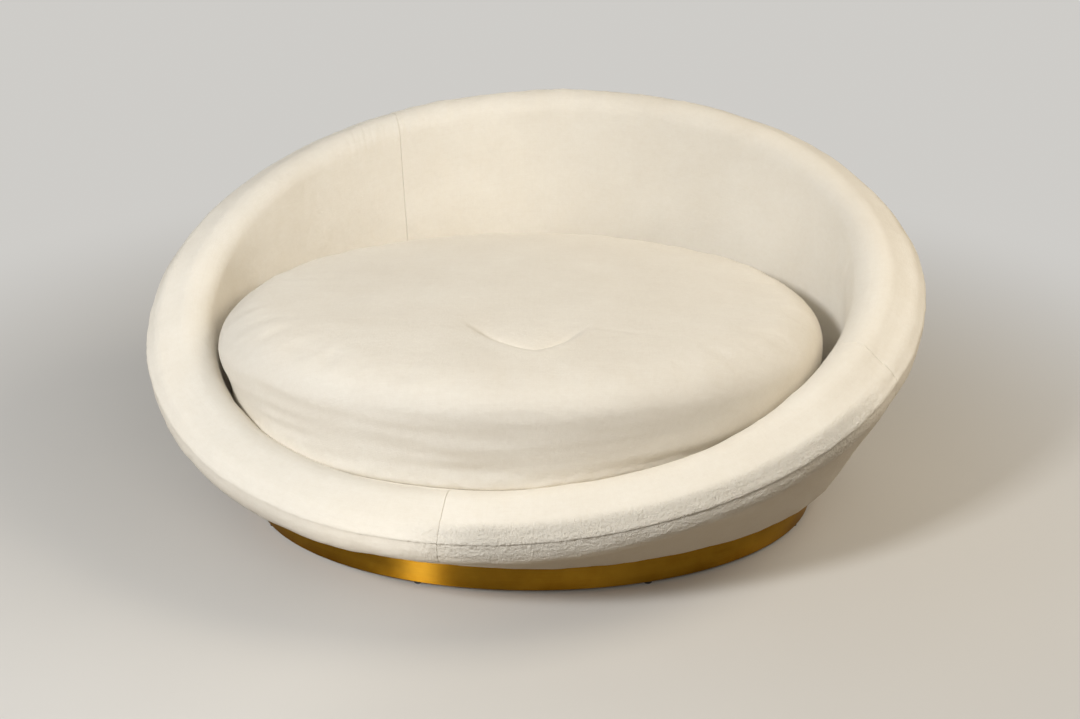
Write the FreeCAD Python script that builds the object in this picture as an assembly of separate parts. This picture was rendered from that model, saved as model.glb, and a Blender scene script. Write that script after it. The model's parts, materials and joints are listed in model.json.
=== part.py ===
import FreeCAD, Part
import math
import os

from FreeCAD import Vector

# Chaise longue: an oval upholstered bowl with a tilted rim on a brass-clad plinth, with a loose cushion.
# Millimetres. X runs along the length, the open front faces -Y, Z is up and the floor is z = 0.
# The origin is under the middle of the bounding box.

# Clearances
PIECE_GAP = 0.3
COVER_GAP = 0.3
JOINT_GAP = 0.4
BAND_JOINT = 1.0

# Rim: a closed centre line that rises to the back and a little to the right
RIM_SHIFT_LEFT = 25.0
RIM_HALF_LENGTH = 782.0
RIM_HALF_DEPTH = 595.0
RIM_MEAN_HEIGHT = 409.0
RIM_RISE_BACK = 241.0
RIM_RISE_RIGHT = 52.0
RIM_SADDLE = 26.0
FLARE_LENGTH_RATIO = 0.49
FLARE_DEPTH_RATIO = 0.27
ROLL_RADIUS = 50.0
ROLL_WIDTH = 40.0
ROLL_LIFT = 15.0
ROLL_LIFT_FALL = 5.0
EDGE_SEAM_DEG = 15.0

# Layers of the upholstered wall, counted from the outside
COVER_THICK = 1.6
FOAM_DEPTH = 22.0
BOARD_THICK = 3.0

# Plinth
PLINTH_X = 0.0
PLINTH_Y = -65.0
PLINTH_INSET_LENGTH = 177.0
PLINTH_INSET_DEPTH = 170.5
PLINTH_TOP = 98.0
BAND_THICK = 1.2
HOOP_THICK = 18.0
TOP_BOARD_THICK = 18.0
GLIDE_HEIGHT = 6.0
GLIDE_RADIUS = 8.0
GLIDE_COUNT = 8
BLOCK_COUNT = 10
BLOCK_LENGTH = 70.0
BLOCK_DEPTH = 26.0
BLOCK_HEIGHT = 34.0

# Shell frame
SHELL_BASE_INSET_LENGTH = 97.0
SHELL_BASE_INSET_DEPTH = 57.0
SHELL_BASE_SHIFT_LEFT = 10.0
SHELL_BASE_SET_BACK = 50.0
BASE_PANEL_THICK = 18.0
SEAT_RING_TOP = 200.0
SEAT_RING_THICK = 36.0
SEAT_RING_WIDTH = 70.0
RIB_COUNT = 12
RIB_FIRST_DEG = 15.0
RIB_THICK = 18.0
RAIL_SLACK = 0.3

# Fasteners between plinth and shell
BOLT_COUNT = 6
BOLT_INSET_LENGTH = 175.0
BOLT_INSET_DEPTH = 154.5
BOLT_RADIUS = 4.0
BOLT_HEAD_RADIUS = 7.0
BOLT_HEAD_HEIGHT = 5.5
BOLT_HOLE_CLEARANCE = 0.5
WASHER_RADIUS = 10.0
WASHER_THICK = 1.6
TEE_NUT_RADIUS = 5.6
TEE_NUT_FLANGE_RADIUS = 11.0
TEE_NUT_FLANGE_THICK = 1.4

# Seat deck
DECK_SHIFT_LEFT = 17.0
DECK_SET_BACK = 40.0
DECK_INSET_LENGTH = 140.0
DECK_INSET_DEPTH = 120.0
DECK_EDGE_GAP = 2.0
WEB_WIDTH = 50.0
WEB_THICK = 2.0
WEB_PITCH = 78.0
DECK_PAD_THICK = 28.0

# Loose cushion
CUSHION_SHIFT_LEFT = 24.0
CUSHION_SET_BACK = 29.0
CUSHION_SLACK_LENGTH = 8.0
CUSHION_OVERHANG_DEPTH = 13.0
CUSHION_THICK = 216.0
CUSHION_SHOULDER = 60.0
CUSHION_LOWER_EDGE = 80.0
CUSHION_CROWN = 12.0
WELT_RADIUS = 4.0
WELT_STAND_OUT = 2.5
ZIP_LENGTH = 760.0
ZIP_SET_BACK = 190.0
ZIP_SLOT = 18.0
ZIP_TAPE_WIDTH = 30.0
ZIP_TAPE_THICK = 0.6
ZIP_TEETH_WIDTH = 5.0
ZIP_TEETH_THICK = 1.1
ZIP_SLIDER_WIDTH = 11.0
ZIP_SLIDER_LENGTH = 16.0
ZIP_SLIDER_WALL = 1.2
ZIP_GROOVE_DEPTH = 6.0

# Cover panels meet at three sewn seams, in degrees round the rim from +X
SEAM_FRONT = 258.0
SEAM_RIGHT = 339.0
SEAM_BACK = 471.0
FOAM_PIECES = 5
SECTION_STEP_DEG = 9.0

# Centres, all placed from the plinth
RIM_X = PLINTH_X - RIM_SHIFT_LEFT
RIM_Y = PLINTH_Y
DECK_X = PLINTH_X - DECK_SHIFT_LEFT
DECK_Y = PLINTH_Y + DECK_SET_BACK
CUSHION_X = PLINTH_X - CUSHION_SHIFT_LEFT
CUSHION_Y = PLINTH_Y + CUSHION_SET_BACK
SHELL_BASE_X = PLINTH_X - SHELL_BASE_SHIFT_LEFT
SHELL_BASE_Y = PLINTH_Y + SHELL_BASE_SET_BACK

# Ovals, all sized from the rim
PLINTH_HALF_LENGTH = RIM_HALF_LENGTH - PLINTH_INSET_LENGTH
PLINTH_HALF_DEPTH = RIM_HALF_DEPTH - PLINTH_INSET_DEPTH
SHELL_BASE_HALF_LENGTH = RIM_HALF_LENGTH - SHELL_BASE_INSET_LENGTH
SHELL_BASE_HALF_DEPTH = RIM_HALF_DEPTH - SHELL_BASE_INSET_DEPTH
DECK_HALF_LENGTH = RIM_HALF_LENGTH - DECK_INSET_LENGTH
DECK_HALF_DEPTH = RIM_HALF_DEPTH - DECK_INSET_DEPTH
CUSHION_HALF_LENGTH = DECK_HALF_LENGTH - CUSHION_SLACK_LENGTH
CUSHION_HALF_DEPTH = DECK_HALF_DEPTH + CUSHION_OVERHANG_DEPTH
BOLT_RING_LENGTH = PLINTH_HALF_LENGTH - BOLT_INSET_LENGTH
BOLT_RING_DEPTH = PLINTH_HALF_DEPTH - BOLT_INSET_DEPTH

# Heights that follow from the layers
SHELL_BOTTOM = PLINTH_TOP
BASE_TOP = SHELL_BOTTOM + BASE_PANEL_THICK
SEAT_RING_BOTTOM = SEAT_RING_TOP - SEAT_RING_THICK
WEB_LOWER = SEAT_RING_TOP
WEB_UPPER = WEB_LOWER + WEB_THICK
DECK_PAD_BOTTOM = WEB_UPPER + WEB_THICK
DECK_PAD_TOP = DECK_PAD_BOTTOM + DECK_PAD_THICK
DECK_TOP = DECK_PAD_TOP + COVER_GAP + COVER_THICK
CUSHION_BOTTOM = DECK_TOP + COVER_GAP

# Depths that follow from the layers
FOAM_OUT = COVER_THICK + COVER_GAP
BOARD_OUT = FOAM_DEPTH + PIECE_GAP
BOARD_IN = BOARD_OUT + BOARD_THICK
FRAME_OUT = BOARD_IN + PIECE_GAP

os.makedirs("parts", exist_ok=True)
made = {}


def save(name, shape):
    made[name] = shape
    shape.exportStep("parts/" + name + ".step")


def cos_deg(angle):
    return math.cos(math.radians(angle))


def sin_deg(angle):
    return math.sin(math.radians(angle))


# Ovals and upright prisms

def oval_edge(centre_x, centre_y, half_length, half_depth, z):
    return Part.Ellipse(Vector(centre_x, centre_y, z), half_length, half_depth).toShape()


def oval_prism(centre_x, centre_y, half_length, half_depth, low, high):
    wire = Part.Wire([oval_edge(centre_x, centre_y, half_length, half_depth, low)])
    return Part.Face(wire).extrude(Vector(0, 0, high - low))


def outline_prism(points, low, high):
    curve = Part.BSplineCurve()
    curve.interpolate(Points=[Vector(x, y, low) for x, y in points], PeriodicFlag=True)
    return Part.Face(Part.Wire([curve.toShape()])).extrude(Vector(0, 0, high - low))


def cylinder(x, y, radius, low, high):
    return Part.makeCylinder(radius, high - low, Vector(x, y, low))


def block(centre_x, centre_y, length, depth, low, high):
    corner = Vector(centre_x - length / 2, centre_y - depth / 2, low)
    return Part.makeBox(length, depth, high - low, corner)


# The rim's centre line and its upright section planes

def rim_height(angle):
    return (RIM_MEAN_HEIGHT + RIM_RISE_BACK * sin_deg(angle) + RIM_RISE_RIGHT * cos_deg(angle)
            - RIM_SADDLE * cos_deg(2 * angle))


def rim_point(angle):
    rise = rim_height(angle) - RIM_MEAN_HEIGHT
    x = RIM_X + (RIM_HALF_LENGTH + FLARE_LENGTH_RATIO * rise) * cos_deg(angle)
    y = RIM_Y + (RIM_HALF_DEPTH + FLARE_DEPTH_RATIO * rise) * sin_deg(angle)
    return x, y


def rim_normal(angle):
    step = 0.05
    ahead_x, ahead_y = rim_point(angle + step)
    behind_x, behind_y = rim_point(angle - step)
    along_x = ahead_x - behind_x
    along_y = ahead_y - behind_y
    size = math.hypot(along_x, along_y)
    return along_y / size, -along_x / size


def reach_to_oval(angle, centre_x, centre_y, half_length, half_depth):
    """Distance along the section plane from the rim's centre line in to an oval, as a negative number."""
    x, y = rim_point(angle)
    nx, ny = rim_normal(angle)
    px = (x - centre_x) / half_length
    py = (y - centre_y) / half_depth
    dx = nx / half_length
    dy = ny / half_depth
    a = dx * dx + dy * dy
    b = px * dx + py * dy
    c = px * px + py * py - 1.0
    return (-b + math.sqrt(b * b - a * c)) / a


class Section:
    """The wall's section at one angle: two round rolls, an outer flank and an inner wall, as s and z."""

    def __init__(self, angle):
        self.x, self.y = rim_point(angle)
        self.nx, self.ny = rim_normal(angle)
        self.outer = (0.0, rim_height(angle))
        self.lift = ROLL_LIFT - ROLL_LIFT_FALL * sin_deg(angle)
        self.inner = (-ROLL_WIDTH, rim_height(angle) + self.lift)
        self.top_deg = 90.0 - math.degrees(math.atan2(self.lift, ROLL_WIDTH))
        base_s = reach_to_oval(angle, SHELL_BASE_X, SHELL_BASE_Y, SHELL_BASE_HALF_LENGTH,
                               SHELL_BASE_HALF_DEPTH)
        deck_s = reach_to_oval(angle, DECK_X, DECK_Y, DECK_HALF_LENGTH, DECK_HALF_DEPTH)
        bearing, spread = self.tangent(self.outer, (base_s, SHELL_BOTTOM))
        self.flank_deg = bearing + spread - 360.0
        bearing, spread = self.tangent(self.inner, (deck_s, SEAT_RING_TOP))
        self.wall_deg = bearing - spread

    @staticmethod
    def tangent(centre, foot):
        """Bearing of a foot from a roll's centre, and the angle from it to where its lines touch the roll."""
        ds = foot[0] - centre[0]
        dz = foot[1] - centre[1]
        spread = math.degrees(math.acos(ROLL_RADIUS / math.hypot(ds, dz)))
        return math.degrees(math.atan2(dz, ds)) % 360.0, spread

    def place(self, point):
        s, z = point
        return Vector(self.x + s * self.nx, self.y + s * self.ny, z)

    def on_roll(self, centre, degrees, depth):
        radius = ROLL_RADIUS - depth
        return centre[0] + radius * cos_deg(degrees), centre[1] + radius * sin_deg(degrees)

    def foot(self, centre, degrees, depth, level):
        """Where the straight line that touches a roll at this direction crosses a level."""
        s, z = self.on_roll(centre, degrees, depth)
        return s - (level - z) * sin_deg(degrees) / cos_deg(degrees), level

    def flank_foot(self, depth, level=SHELL_BOTTOM):
        return self.foot(self.outer, self.flank_deg, depth, level)

    def wall_foot(self, depth, level=SEAT_RING_TOP):
        return self.foot(self.inner, self.wall_deg, depth, level)

    def line(self, first, last):
        return Part.makeLine(self.place(first), self.place(last))

    def arc(self, centre, start, end, depth):
        middle = (start + end) / 2
        points = [self.place(self.on_roll(centre, angle, depth)) for angle in (start, middle, end)]
        return Part.Arc(*points).toShape()

    def flank_path(self, depth):
        touch = self.on_roll(self.outer, self.flank_deg, depth)
        return [self.line(self.flank_foot(depth), touch)]

    def outside_path(self, depth):
        return self.flank_path(depth) + [self.arc(self.outer, self.flank_deg, EDGE_SEAM_DEG, depth)]

    def wall_path(self, depth):
        touch = self.on_roll(self.inner, self.wall_deg, depth)
        return [self.line(touch, self.wall_foot(depth))]

    def inside_path(self, depth, start):
        crest_outer = self.on_roll(self.outer, self.top_deg, depth)
        crest_inner = self.on_roll(self.inner, self.top_deg, depth)
        return [self.arc(self.outer, start, self.top_deg, depth), self.line(crest_outer, crest_inner),
                self.arc(self.inner, self.top_deg, self.wall_deg, depth)] + self.wall_path(depth)

    def whole_path(self, depth):
        return self.flank_path(depth) + self.inside_path(depth, self.flank_deg)

    @staticmethod
    def band(outer_path, inner_path):
        """Closed wire of a layer between two parallel paths that run the same way."""
        start = Part.makeLine(inner_path[0].firstVertex().Point, outer_path[0].firstVertex().Point)
        end = Part.makeLine(outer_path[-1].lastVertex().Point, inner_path[-1].lastVertex().Point)
        return Part.Wire(outer_path + [end] + inner_path[::-1] + [start])


def stations(start, end, margin):
    """Section angles of one run round the rim, held back from both ends by half a joint."""
    first = start + margin
    last = end - margin
    count = max(3, round((last - first) / SECTION_STEP_DEG))
    return [first + (last - first) * index / count for index in range(count + 1)]


def joint_margin(gap):
    return math.degrees(gap / 2 / RIM_HALF_DEPTH)


def run(start, end, gap, wire_at):
    wires = [wire_at(Section(angle)) for angle in stations(start, end, joint_margin(gap))]
    return Part.makeLoft(wires, True, False)


def inside_cover(section):
    gap_deg = math.degrees(JOINT_GAP / 2 / ROLL_RADIUS)
    start = EDGE_SEAM_DEG + gap_deg
    return Section.band(section.inside_path(0.0, start), section.inside_path(COVER_THICK, start))


def outside_cover(section):
    return Section.band(section.outside_path(0.0), section.outside_path(COVER_THICK))


def rim_foam(section):
    return Section.band(section.whole_path(FOAM_OUT), section.whole_path(FOAM_DEPTH))


def outer_board(section):
    return Section.band(section.flank_path(BOARD_OUT), section.flank_path(BOARD_IN))


def inner_board(section):
    return Section.band(section.wall_path(BOARD_OUT), section.wall_path(BOARD_IN))


def crest_rail(section):
    depth = FRAME_OUT
    low_deg = section.top_deg + 180.0
    top_outer = section.on_roll(section.outer, section.top_deg, depth)
    top_inner = section.on_roll(section.inner, section.top_deg, depth)
    low_outer = section.on_roll(section.outer, low_deg, depth)
    low_inner = section.on_roll(section.inner, low_deg, depth)
    edges = [section.arc(section.outer, section.top_deg - 180.0, section.top_deg, depth),
             section.line(top_outer, top_inner),
             section.arc(section.inner, section.top_deg, low_deg, depth),
             section.line(low_inner, low_outer)]
    return Part.Wire(edges)


# Levels where the frame meets the layers, as closed outlines round the shell

def ring_outline(point_of):
    outline = []
    steps = int(360 / SECTION_STEP_DEG)
    for index in range(steps):
        section = Section(index * SECTION_STEP_DEG)
        placed = section.place(point_of(section))
        outline.append((placed.x, placed.y))
    return outline


def seat_ring_edge(section, inset):
    s, z = section.wall_foot(FRAME_OUT)
    return s - inset, z


def make_seat_ring():
    outer = outline_prism(ring_outline(lambda cut: seat_ring_edge(cut, 0.0)), SEAT_RING_BOTTOM, SEAT_RING_TOP)
    inner = outline_prism(ring_outline(lambda cut: seat_ring_edge(cut, SEAT_RING_WIDTH)),
                          SEAT_RING_BOTTOM, SEAT_RING_TOP)
    return outer.cut(inner)


def deck_outline(inset):
    def edge(section):
        s, z = section.wall_foot(0.0)
        return s - inset, z
    return ring_outline(edge)


def rib_corners(section):
    """Corners of a rib: base, flank, under the crest rail, down the inner wall, seat ring ledge, base."""
    slope = section.lift / -ROLL_WIDTH
    under = section.on_roll(section.outer, section.top_deg + 180.0, FRAME_OUT - RAIL_SLACK)

    def meet(foot, degrees):
        run_s = -sin_deg(degrees) / cos_deg(degrees)
        rise = (under[1] + slope * (foot[0] - under[0]) - foot[1]) / (1.0 - slope * run_s)
        return foot[0] + run_s * rise, foot[1] + rise

    flank = section.flank_foot(FRAME_OUT, BASE_TOP)
    shoulder = meet(flank, section.flank_deg)
    ring = section.wall_foot(FRAME_OUT)
    neck = meet(ring, section.wall_deg)
    ledge_outer = (ring[0] + PIECE_GAP, SEAT_RING_BOTTOM)
    ledge_inner = (ring[0] - SEAT_RING_WIDTH, SEAT_RING_BOTTOM)
    toe = (ring[0] - SEAT_RING_WIDTH, BASE_TOP)
    if neck[1] > SEAT_RING_TOP:
        upper = [neck, (ring[0] + PIECE_GAP, SEAT_RING_TOP)]
    else:
        upper = [(ledge_outer[0], under[1] + slope * (ledge_outer[0] - under[0]))]
    return [flank, shoulder] + upper + [ledge_outer, ledge_inner, toe]


def make_rib(angle):
    x, y = rim_point(angle)
    half = math.degrees(RIB_THICK / 2 / math.hypot(x - RIM_X, y - RIM_Y))
    wires = []
    for side in (-half, half):
        section = Section(angle + side)
        corners = [section.place(point) for point in rib_corners(section)]
        wires.append(Part.makePolygon(corners + corners[:1]))
    return Part.makeLoft(wires, True, True)


# Plinth

def plinth_oval(inset, low, high):
    return oval_prism(PLINTH_X, PLINTH_Y, PLINTH_HALF_LENGTH - inset, PLINTH_HALF_DEPTH - inset, low, high)


def plinth_spots(count, inset, first):
    for index in range(count):
        angle = first + 360.0 * index / count
        x = PLINTH_X + (PLINTH_HALF_LENGTH - inset) * cos_deg(angle)
        y = PLINTH_Y + (PLINTH_HALF_DEPTH - inset) * sin_deg(angle)
        yield x, y, angle


def bolt_spots():
    for index in range(BOLT_COUNT):
        angle = 360.0 * (index + 0.5) / BOLT_COUNT
        yield PLINTH_X + BOLT_RING_LENGTH * cos_deg(angle), PLINTH_Y + BOLT_RING_DEPTH * sin_deg(angle)


def make_plinth():
    hoop_outer = BAND_THICK + PIECE_GAP
    hoop_inner = hoop_outer + HOOP_THICK
    board_inset = hoop_inner + PIECE_GAP
    board_bottom = PLINTH_TOP - TOP_BOARD_THICK
    band = plinth_oval(0.0, GLIDE_HEIGHT, PLINTH_TOP).cut(plinth_oval(BAND_THICK, GLIDE_HEIGHT, PLINTH_TOP))
    joint = block(PLINTH_X, PLINTH_Y + PLINTH_HALF_DEPTH, BAND_JOINT, HOOP_THICK, GLIDE_HEIGHT, PLINTH_TOP)
    save("brass_band", band.cut(joint))
    hoop = plinth_oval(hoop_outer, GLIDE_HEIGHT, PLINTH_TOP)
    save("plinth_hoop", hoop.cut(plinth_oval(hoop_inner, GLIDE_HEIGHT, PLINTH_TOP)))

    board = plinth_oval(board_inset, board_bottom, PLINTH_TOP)
    for x, y in bolt_spots():
        board = board.cut(cylinder(x, y, BOLT_RADIUS + BOLT_HOLE_CLEARANCE, board_bottom, PLINTH_TOP))
    save("plinth_top_board", board)

    low = board_bottom - BLOCK_HEIGHT
    lining = plinth_oval(board_inset, low, board_bottom).cut(
        plinth_oval(board_inset + BLOCK_DEPTH, low, board_bottom))
    pieces = []
    for x, y, angle in plinth_spots(BLOCK_COUNT, board_inset, 360.0 / BLOCK_COUNT / 2):
        cutter = block(0.0, 0.0, BLOCK_LENGTH, BLOCK_LENGTH, low, board_bottom)
        facing = math.atan2(sin_deg(angle) / PLINTH_HALF_DEPTH, cos_deg(angle) / PLINTH_HALF_LENGTH)
        cutter.rotate(Vector(0, 0, 0), Vector(0, 0, 1), math.degrees(facing))
        cutter.translate(Vector(x, y, 0))
        pieces.append(lining.common(cutter).Solids[0])
    save("plinth_glue_blocks", Part.makeCompound(pieces))

    middle = hoop_outer + HOOP_THICK / 2
    glides = [cylinder(x, y, GLIDE_RADIUS, 0.0, GLIDE_HEIGHT)
              for x, y, angle in plinth_spots(GLIDE_COUNT, middle, 360.0 / GLIDE_COUNT / 2)]
    save("plinth_glides", Part.makeCompound(glides))
    make_fasteners(board_bottom)


def hex_prism(x, y, radius, low, high):
    corners = [Vector(x + radius * cos_deg(60 * k), y + radius * sin_deg(60 * k), low) for k in range(6)]
    return Part.Face(Part.makePolygon(corners + corners[:1])).extrude(Vector(0, 0, high - low))


def make_fasteners(board_bottom):
    bolts = []
    washers = []
    nuts = []
    head_top = board_bottom - WASHER_THICK
    flange_top = BASE_TOP + TEE_NUT_FLANGE_THICK
    bore = BOLT_RADIUS + PIECE_GAP
    for x, y in bolt_spots():
        head = hex_prism(x, y, BOLT_HEAD_RADIUS, head_top - BOLT_HEAD_HEIGHT, head_top)
        bolts.append(head.fuse(cylinder(x, y, BOLT_RADIUS, head_top, flange_top)).removeSplitter().Solids[0])
        washer = cylinder(x, y, WASHER_RADIUS, head_top, board_bottom)
        washers.append(washer.cut(cylinder(x, y, bore, head_top, board_bottom)))
        barrel = cylinder(x, y, TEE_NUT_RADIUS, SHELL_BOTTOM, BASE_TOP)
        flange = cylinder(x, y, TEE_NUT_FLANGE_RADIUS, BASE_TOP, flange_top)
        nuts.append(barrel.fuse(flange).cut(cylinder(x, y, bore, SHELL_BOTTOM, flange_top)).Solids[0])
    save("plinth_bolts", Part.makeCompound(bolts))
    save("bolt_washers", Part.makeCompound(washers))
    save("tee_nuts", Part.makeCompound(nuts))


# Shell

def make_base_panel():
    edge = ring_outline(lambda cut: cut.flank_foot(FRAME_OUT))
    panel = outline_prism(edge, SHELL_BOTTOM, BASE_TOP)
    for x, y in bolt_spots():
        panel = panel.cut(cylinder(x, y, TEE_NUT_RADIUS + PIECE_GAP, SHELL_BOTTOM, BASE_TOP))
    save("base_panel", panel)


def make_shell_frame():
    make_base_panel()
    save("seat_ring", make_seat_ring())
    for index in range(RIB_COUNT):
        save("rib_%02d" % (index + 1), make_rib(RIB_FIRST_DEG + 360.0 / RIB_COUNT * index))
    quarters = {"right": -45.0, "back": 45.0, "left": 135.0, "front": 225.0}
    for side, start in quarters.items():
        save("crest_rail_" + side, run(start, start + 90.0, JOINT_GAP, crest_rail))
        save("outer_board_" + side, run(start, start + 90.0, JOINT_GAP, outer_board))
    walls = {"right": (-15.0, 45.0), "back": (45.0, 135.0), "left": (135.0, 195.0)}
    for side, (start, end) in walls.items():
        save("inner_board_" + side, run(start, end, JOINT_GAP, inner_board))


def web_straps(along_x, low):
    bed = outline_prism(deck_outline(DECK_EDGE_GAP), low, low + WEB_THICK)
    box = bed.BoundBox
    centre = box.YMin + box.YLength / 2 if along_x else box.XMin + box.XLength / 2
    span = box.YLength if along_x else box.XLength
    count = int((span - WEB_WIDTH) / WEB_PITCH)
    straps = []
    for index in range(count + 1):
        place = centre + (index - count / 2) * WEB_PITCH
        if along_x:
            strip = block(box.Center.x, place, box.XLength, WEB_WIDTH, low, low + WEB_THICK)
        else:
            strip = block(place, box.Center.y, WEB_WIDTH, box.YLength, low, low + WEB_THICK)
        straps.append(bed.common(strip).Solids[0])
    return Part.makeCompound(straps)


def make_deck():
    save("webbing_cross", web_straps(False, WEB_LOWER))
    save("webbing_long", web_straps(True, WEB_UPPER))
    outline = deck_outline(DECK_EDGE_GAP)
    save("deck_pad", outline_prism(outline, DECK_PAD_BOTTOM, DECK_PAD_TOP))
    save("deck_cover", outline_prism(outline, DECK_PAD_TOP + COVER_GAP, DECK_TOP))


def make_upholstery():
    arc = 360.0 / FOAM_PIECES
    for index in range(FOAM_PIECES):
        save("rim_foam_%d" % (index + 1), run(index * arc, (index + 1) * arc, JOINT_GAP, rim_foam))
    panels = {"front": (SEAM_FRONT, SEAM_RIGHT), "back": (SEAM_RIGHT, SEAM_BACK),
              "left": (SEAM_BACK, SEAM_FRONT + 360.0)}
    for side, (start, end) in panels.items():
        save("inside_cover_" + side, run(start, end, JOINT_GAP, inside_cover))
        save("outside_cover_" + side, run(start, end, JOINT_GAP, outside_cover))


# Cushion: a round profile turned about Z, then stretched along X to the oval

class CushionProfile:
    """Half section of the cushion at a depth under its skin, as r and z."""

    def __init__(self, depth):
        self.low = CUSHION_BOTTOM + depth
        self.side = CUSHION_HALF_DEPTH - depth
        self.edge_radius = CUSHION_LOWER_EDGE - depth
        self.edge = (CUSHION_HALF_DEPTH - CUSHION_LOWER_EDGE, CUSHION_BOTTOM + CUSHION_LOWER_EDGE)
        self.shoulder_radius = CUSHION_SHOULDER - depth
        rise = CUSHION_SHOULDER + CUSHION_CROWN
        self.shoulder = (CUSHION_HALF_DEPTH - CUSHION_SHOULDER, CUSHION_BOTTOM + CUSHION_THICK - rise)
        crown = (self.shoulder[0] ** 2 + rise ** 2 - CUSHION_SHOULDER ** 2) / (2 * CUSHION_CROWN)
        self.crown_radius = crown - depth
        self.crown_centre = CUSHION_BOTTOM + CUSHION_THICK - crown
        self.crown_deg = math.degrees(math.atan2(self.shoulder[1] - self.crown_centre, self.shoulder[0]))

    def on_edge(self, degrees):
        return (self.edge[0] + self.edge_radius * cos_deg(degrees),
                self.edge[1] + self.edge_radius * sin_deg(degrees))

    def on_shoulder(self, degrees):
        return (self.shoulder[0] + self.shoulder_radius * cos_deg(degrees),
                self.shoulder[1] + self.shoulder_radius * sin_deg(degrees))

    def on_crown(self, degrees):
        return self.crown_radius * cos_deg(degrees), self.crown_centre + self.crown_radius * sin_deg(degrees)

    def top(self):
        return 0.0, self.crown_centre + self.crown_radius


def upright(point):
    return Vector(point[0], 0.0, point[1])


def flat_arc(point_at, start, end):
    return Part.Arc(*[upright(point_at(angle)) for angle in (start, (start + end) / 2, end)]).toShape()


def flat_line(first, last):
    return Part.makeLine(upright(first), upright(last))


def turned(edges):
    """Oval solid from a closed half section."""
    solid = Part.Face(Part.Wire(edges)).revolve(Vector(0, 0, 0), Vector(0, 0, 1), 360.0)
    stretch = FreeCAD.Matrix()
    stretch.A11 = CUSHION_HALF_LENGTH / CUSHION_HALF_DEPTH
    oval = solid.transformGeometry(stretch)
    oval.translate(Vector(CUSHION_X, CUSHION_Y, 0.0))
    return oval


def crown_path(profile):
    return [flat_line(profile.on_edge(0.0), profile.on_shoulder(0.0)),
            flat_arc(profile.on_shoulder, 0.0, profile.crown_deg),
            flat_arc(profile.on_crown, profile.crown_deg, 90.0)]


def make_cushion_filling():
    inner = CushionProfile(COVER_THICK + COVER_GAP)
    level = inner.shoulder[1]
    core = turned([flat_line((0.0, inner.low), (inner.edge[0], inner.low)),
                   flat_arc(inner.on_edge, -90.0, 0.0),
                   flat_line(inner.on_edge(0.0), (inner.side, level)),
                   flat_line((inner.side, level), (0.0, level)),
                   flat_line((0.0, level), (0.0, inner.low))])
    groove = block(CUSHION_X, CUSHION_Y + ZIP_SET_BACK, ZIP_LENGTH + ZIP_TAPE_WIDTH,
                   ZIP_TAPE_WIDTH + 2 * COVER_THICK, inner.low, inner.low + ZIP_GROOVE_DEPTH)
    save("cushion_core", core.cut(groove))
    inner_low = level + PIECE_GAP
    start = math.degrees(math.asin(PIECE_GAP / inner.shoulder_radius))
    crown = turned([flat_line((0.0, inner_low), inner.on_shoulder(start)),
                    flat_arc(inner.on_shoulder, start, inner.crown_deg),
                    flat_arc(inner.on_crown, inner.crown_deg, 90.0),
                    flat_line(inner.top(), (0.0, inner_low))])
    save("cushion_crown_wrap", crown)


def make_cushion_covers():
    outer = CushionProfile(0.0)
    inner = CushionProfile(COVER_THICK)
    welt_deg = -45.0
    half_gap = math.degrees((WELT_RADIUS - COVER_GAP) / CUSHION_LOWER_EDGE)
    above = welt_deg + half_gap
    below = welt_deg - half_gap
    case = turned([flat_arc(outer.on_edge, above, 0.0)] + crown_path(outer)
                  + [flat_line(outer.top(), inner.top())] + crown_path(inner)[::-1]
                  + [flat_arc(inner.on_edge, 0.0, above),
                     flat_line(inner.on_edge(above), outer.on_edge(above))])
    save("cushion_top_cover", case)
    bottom = turned([flat_line((0.0, outer.low), outer.on_edge(-90.0)),
                     flat_arc(outer.on_edge, -90.0, below),
                     flat_line(outer.on_edge(below), inner.on_edge(below)),
                     flat_arc(inner.on_edge, below, -90.0),
                     flat_line(inner.on_edge(-90.0), (0.0, inner.low)),
                     flat_line((0.0, inner.low), (0.0, outer.low))])
    save("cushion_bottom_cover", with_zip_placket(bottom, outer.low))
    welt = CushionProfile(-WELT_STAND_OUT).on_edge(welt_deg)
    ring = Part.Circle(upright(welt), Vector(0, 1, 0), WELT_RADIUS).toShape()
    save("cushion_welt", turned([ring]))


# Zip across the underside of the cushion

def zip_bar(width, low, high, offset=0.0, length=ZIP_LENGTH):
    return block(CUSHION_X, CUSHION_Y + ZIP_SET_BACK + offset, length, width, low, high)


def placket_top():
    return CUSHION_BOTTOM + COVER_THICK + ZIP_GROOVE_DEPTH / 2


def with_zip_placket(panel, low):
    slotted = panel.cut(zip_bar(ZIP_SLOT, low, low + COVER_THICK))
    for side in (-1, 1):
        offset = side * (ZIP_SLOT + COVER_THICK) / 2
        slotted = slotted.fuse(zip_bar(COVER_THICK, low, placket_top(), offset))
    return slotted.removeSplitter().Solids[0]


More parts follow.
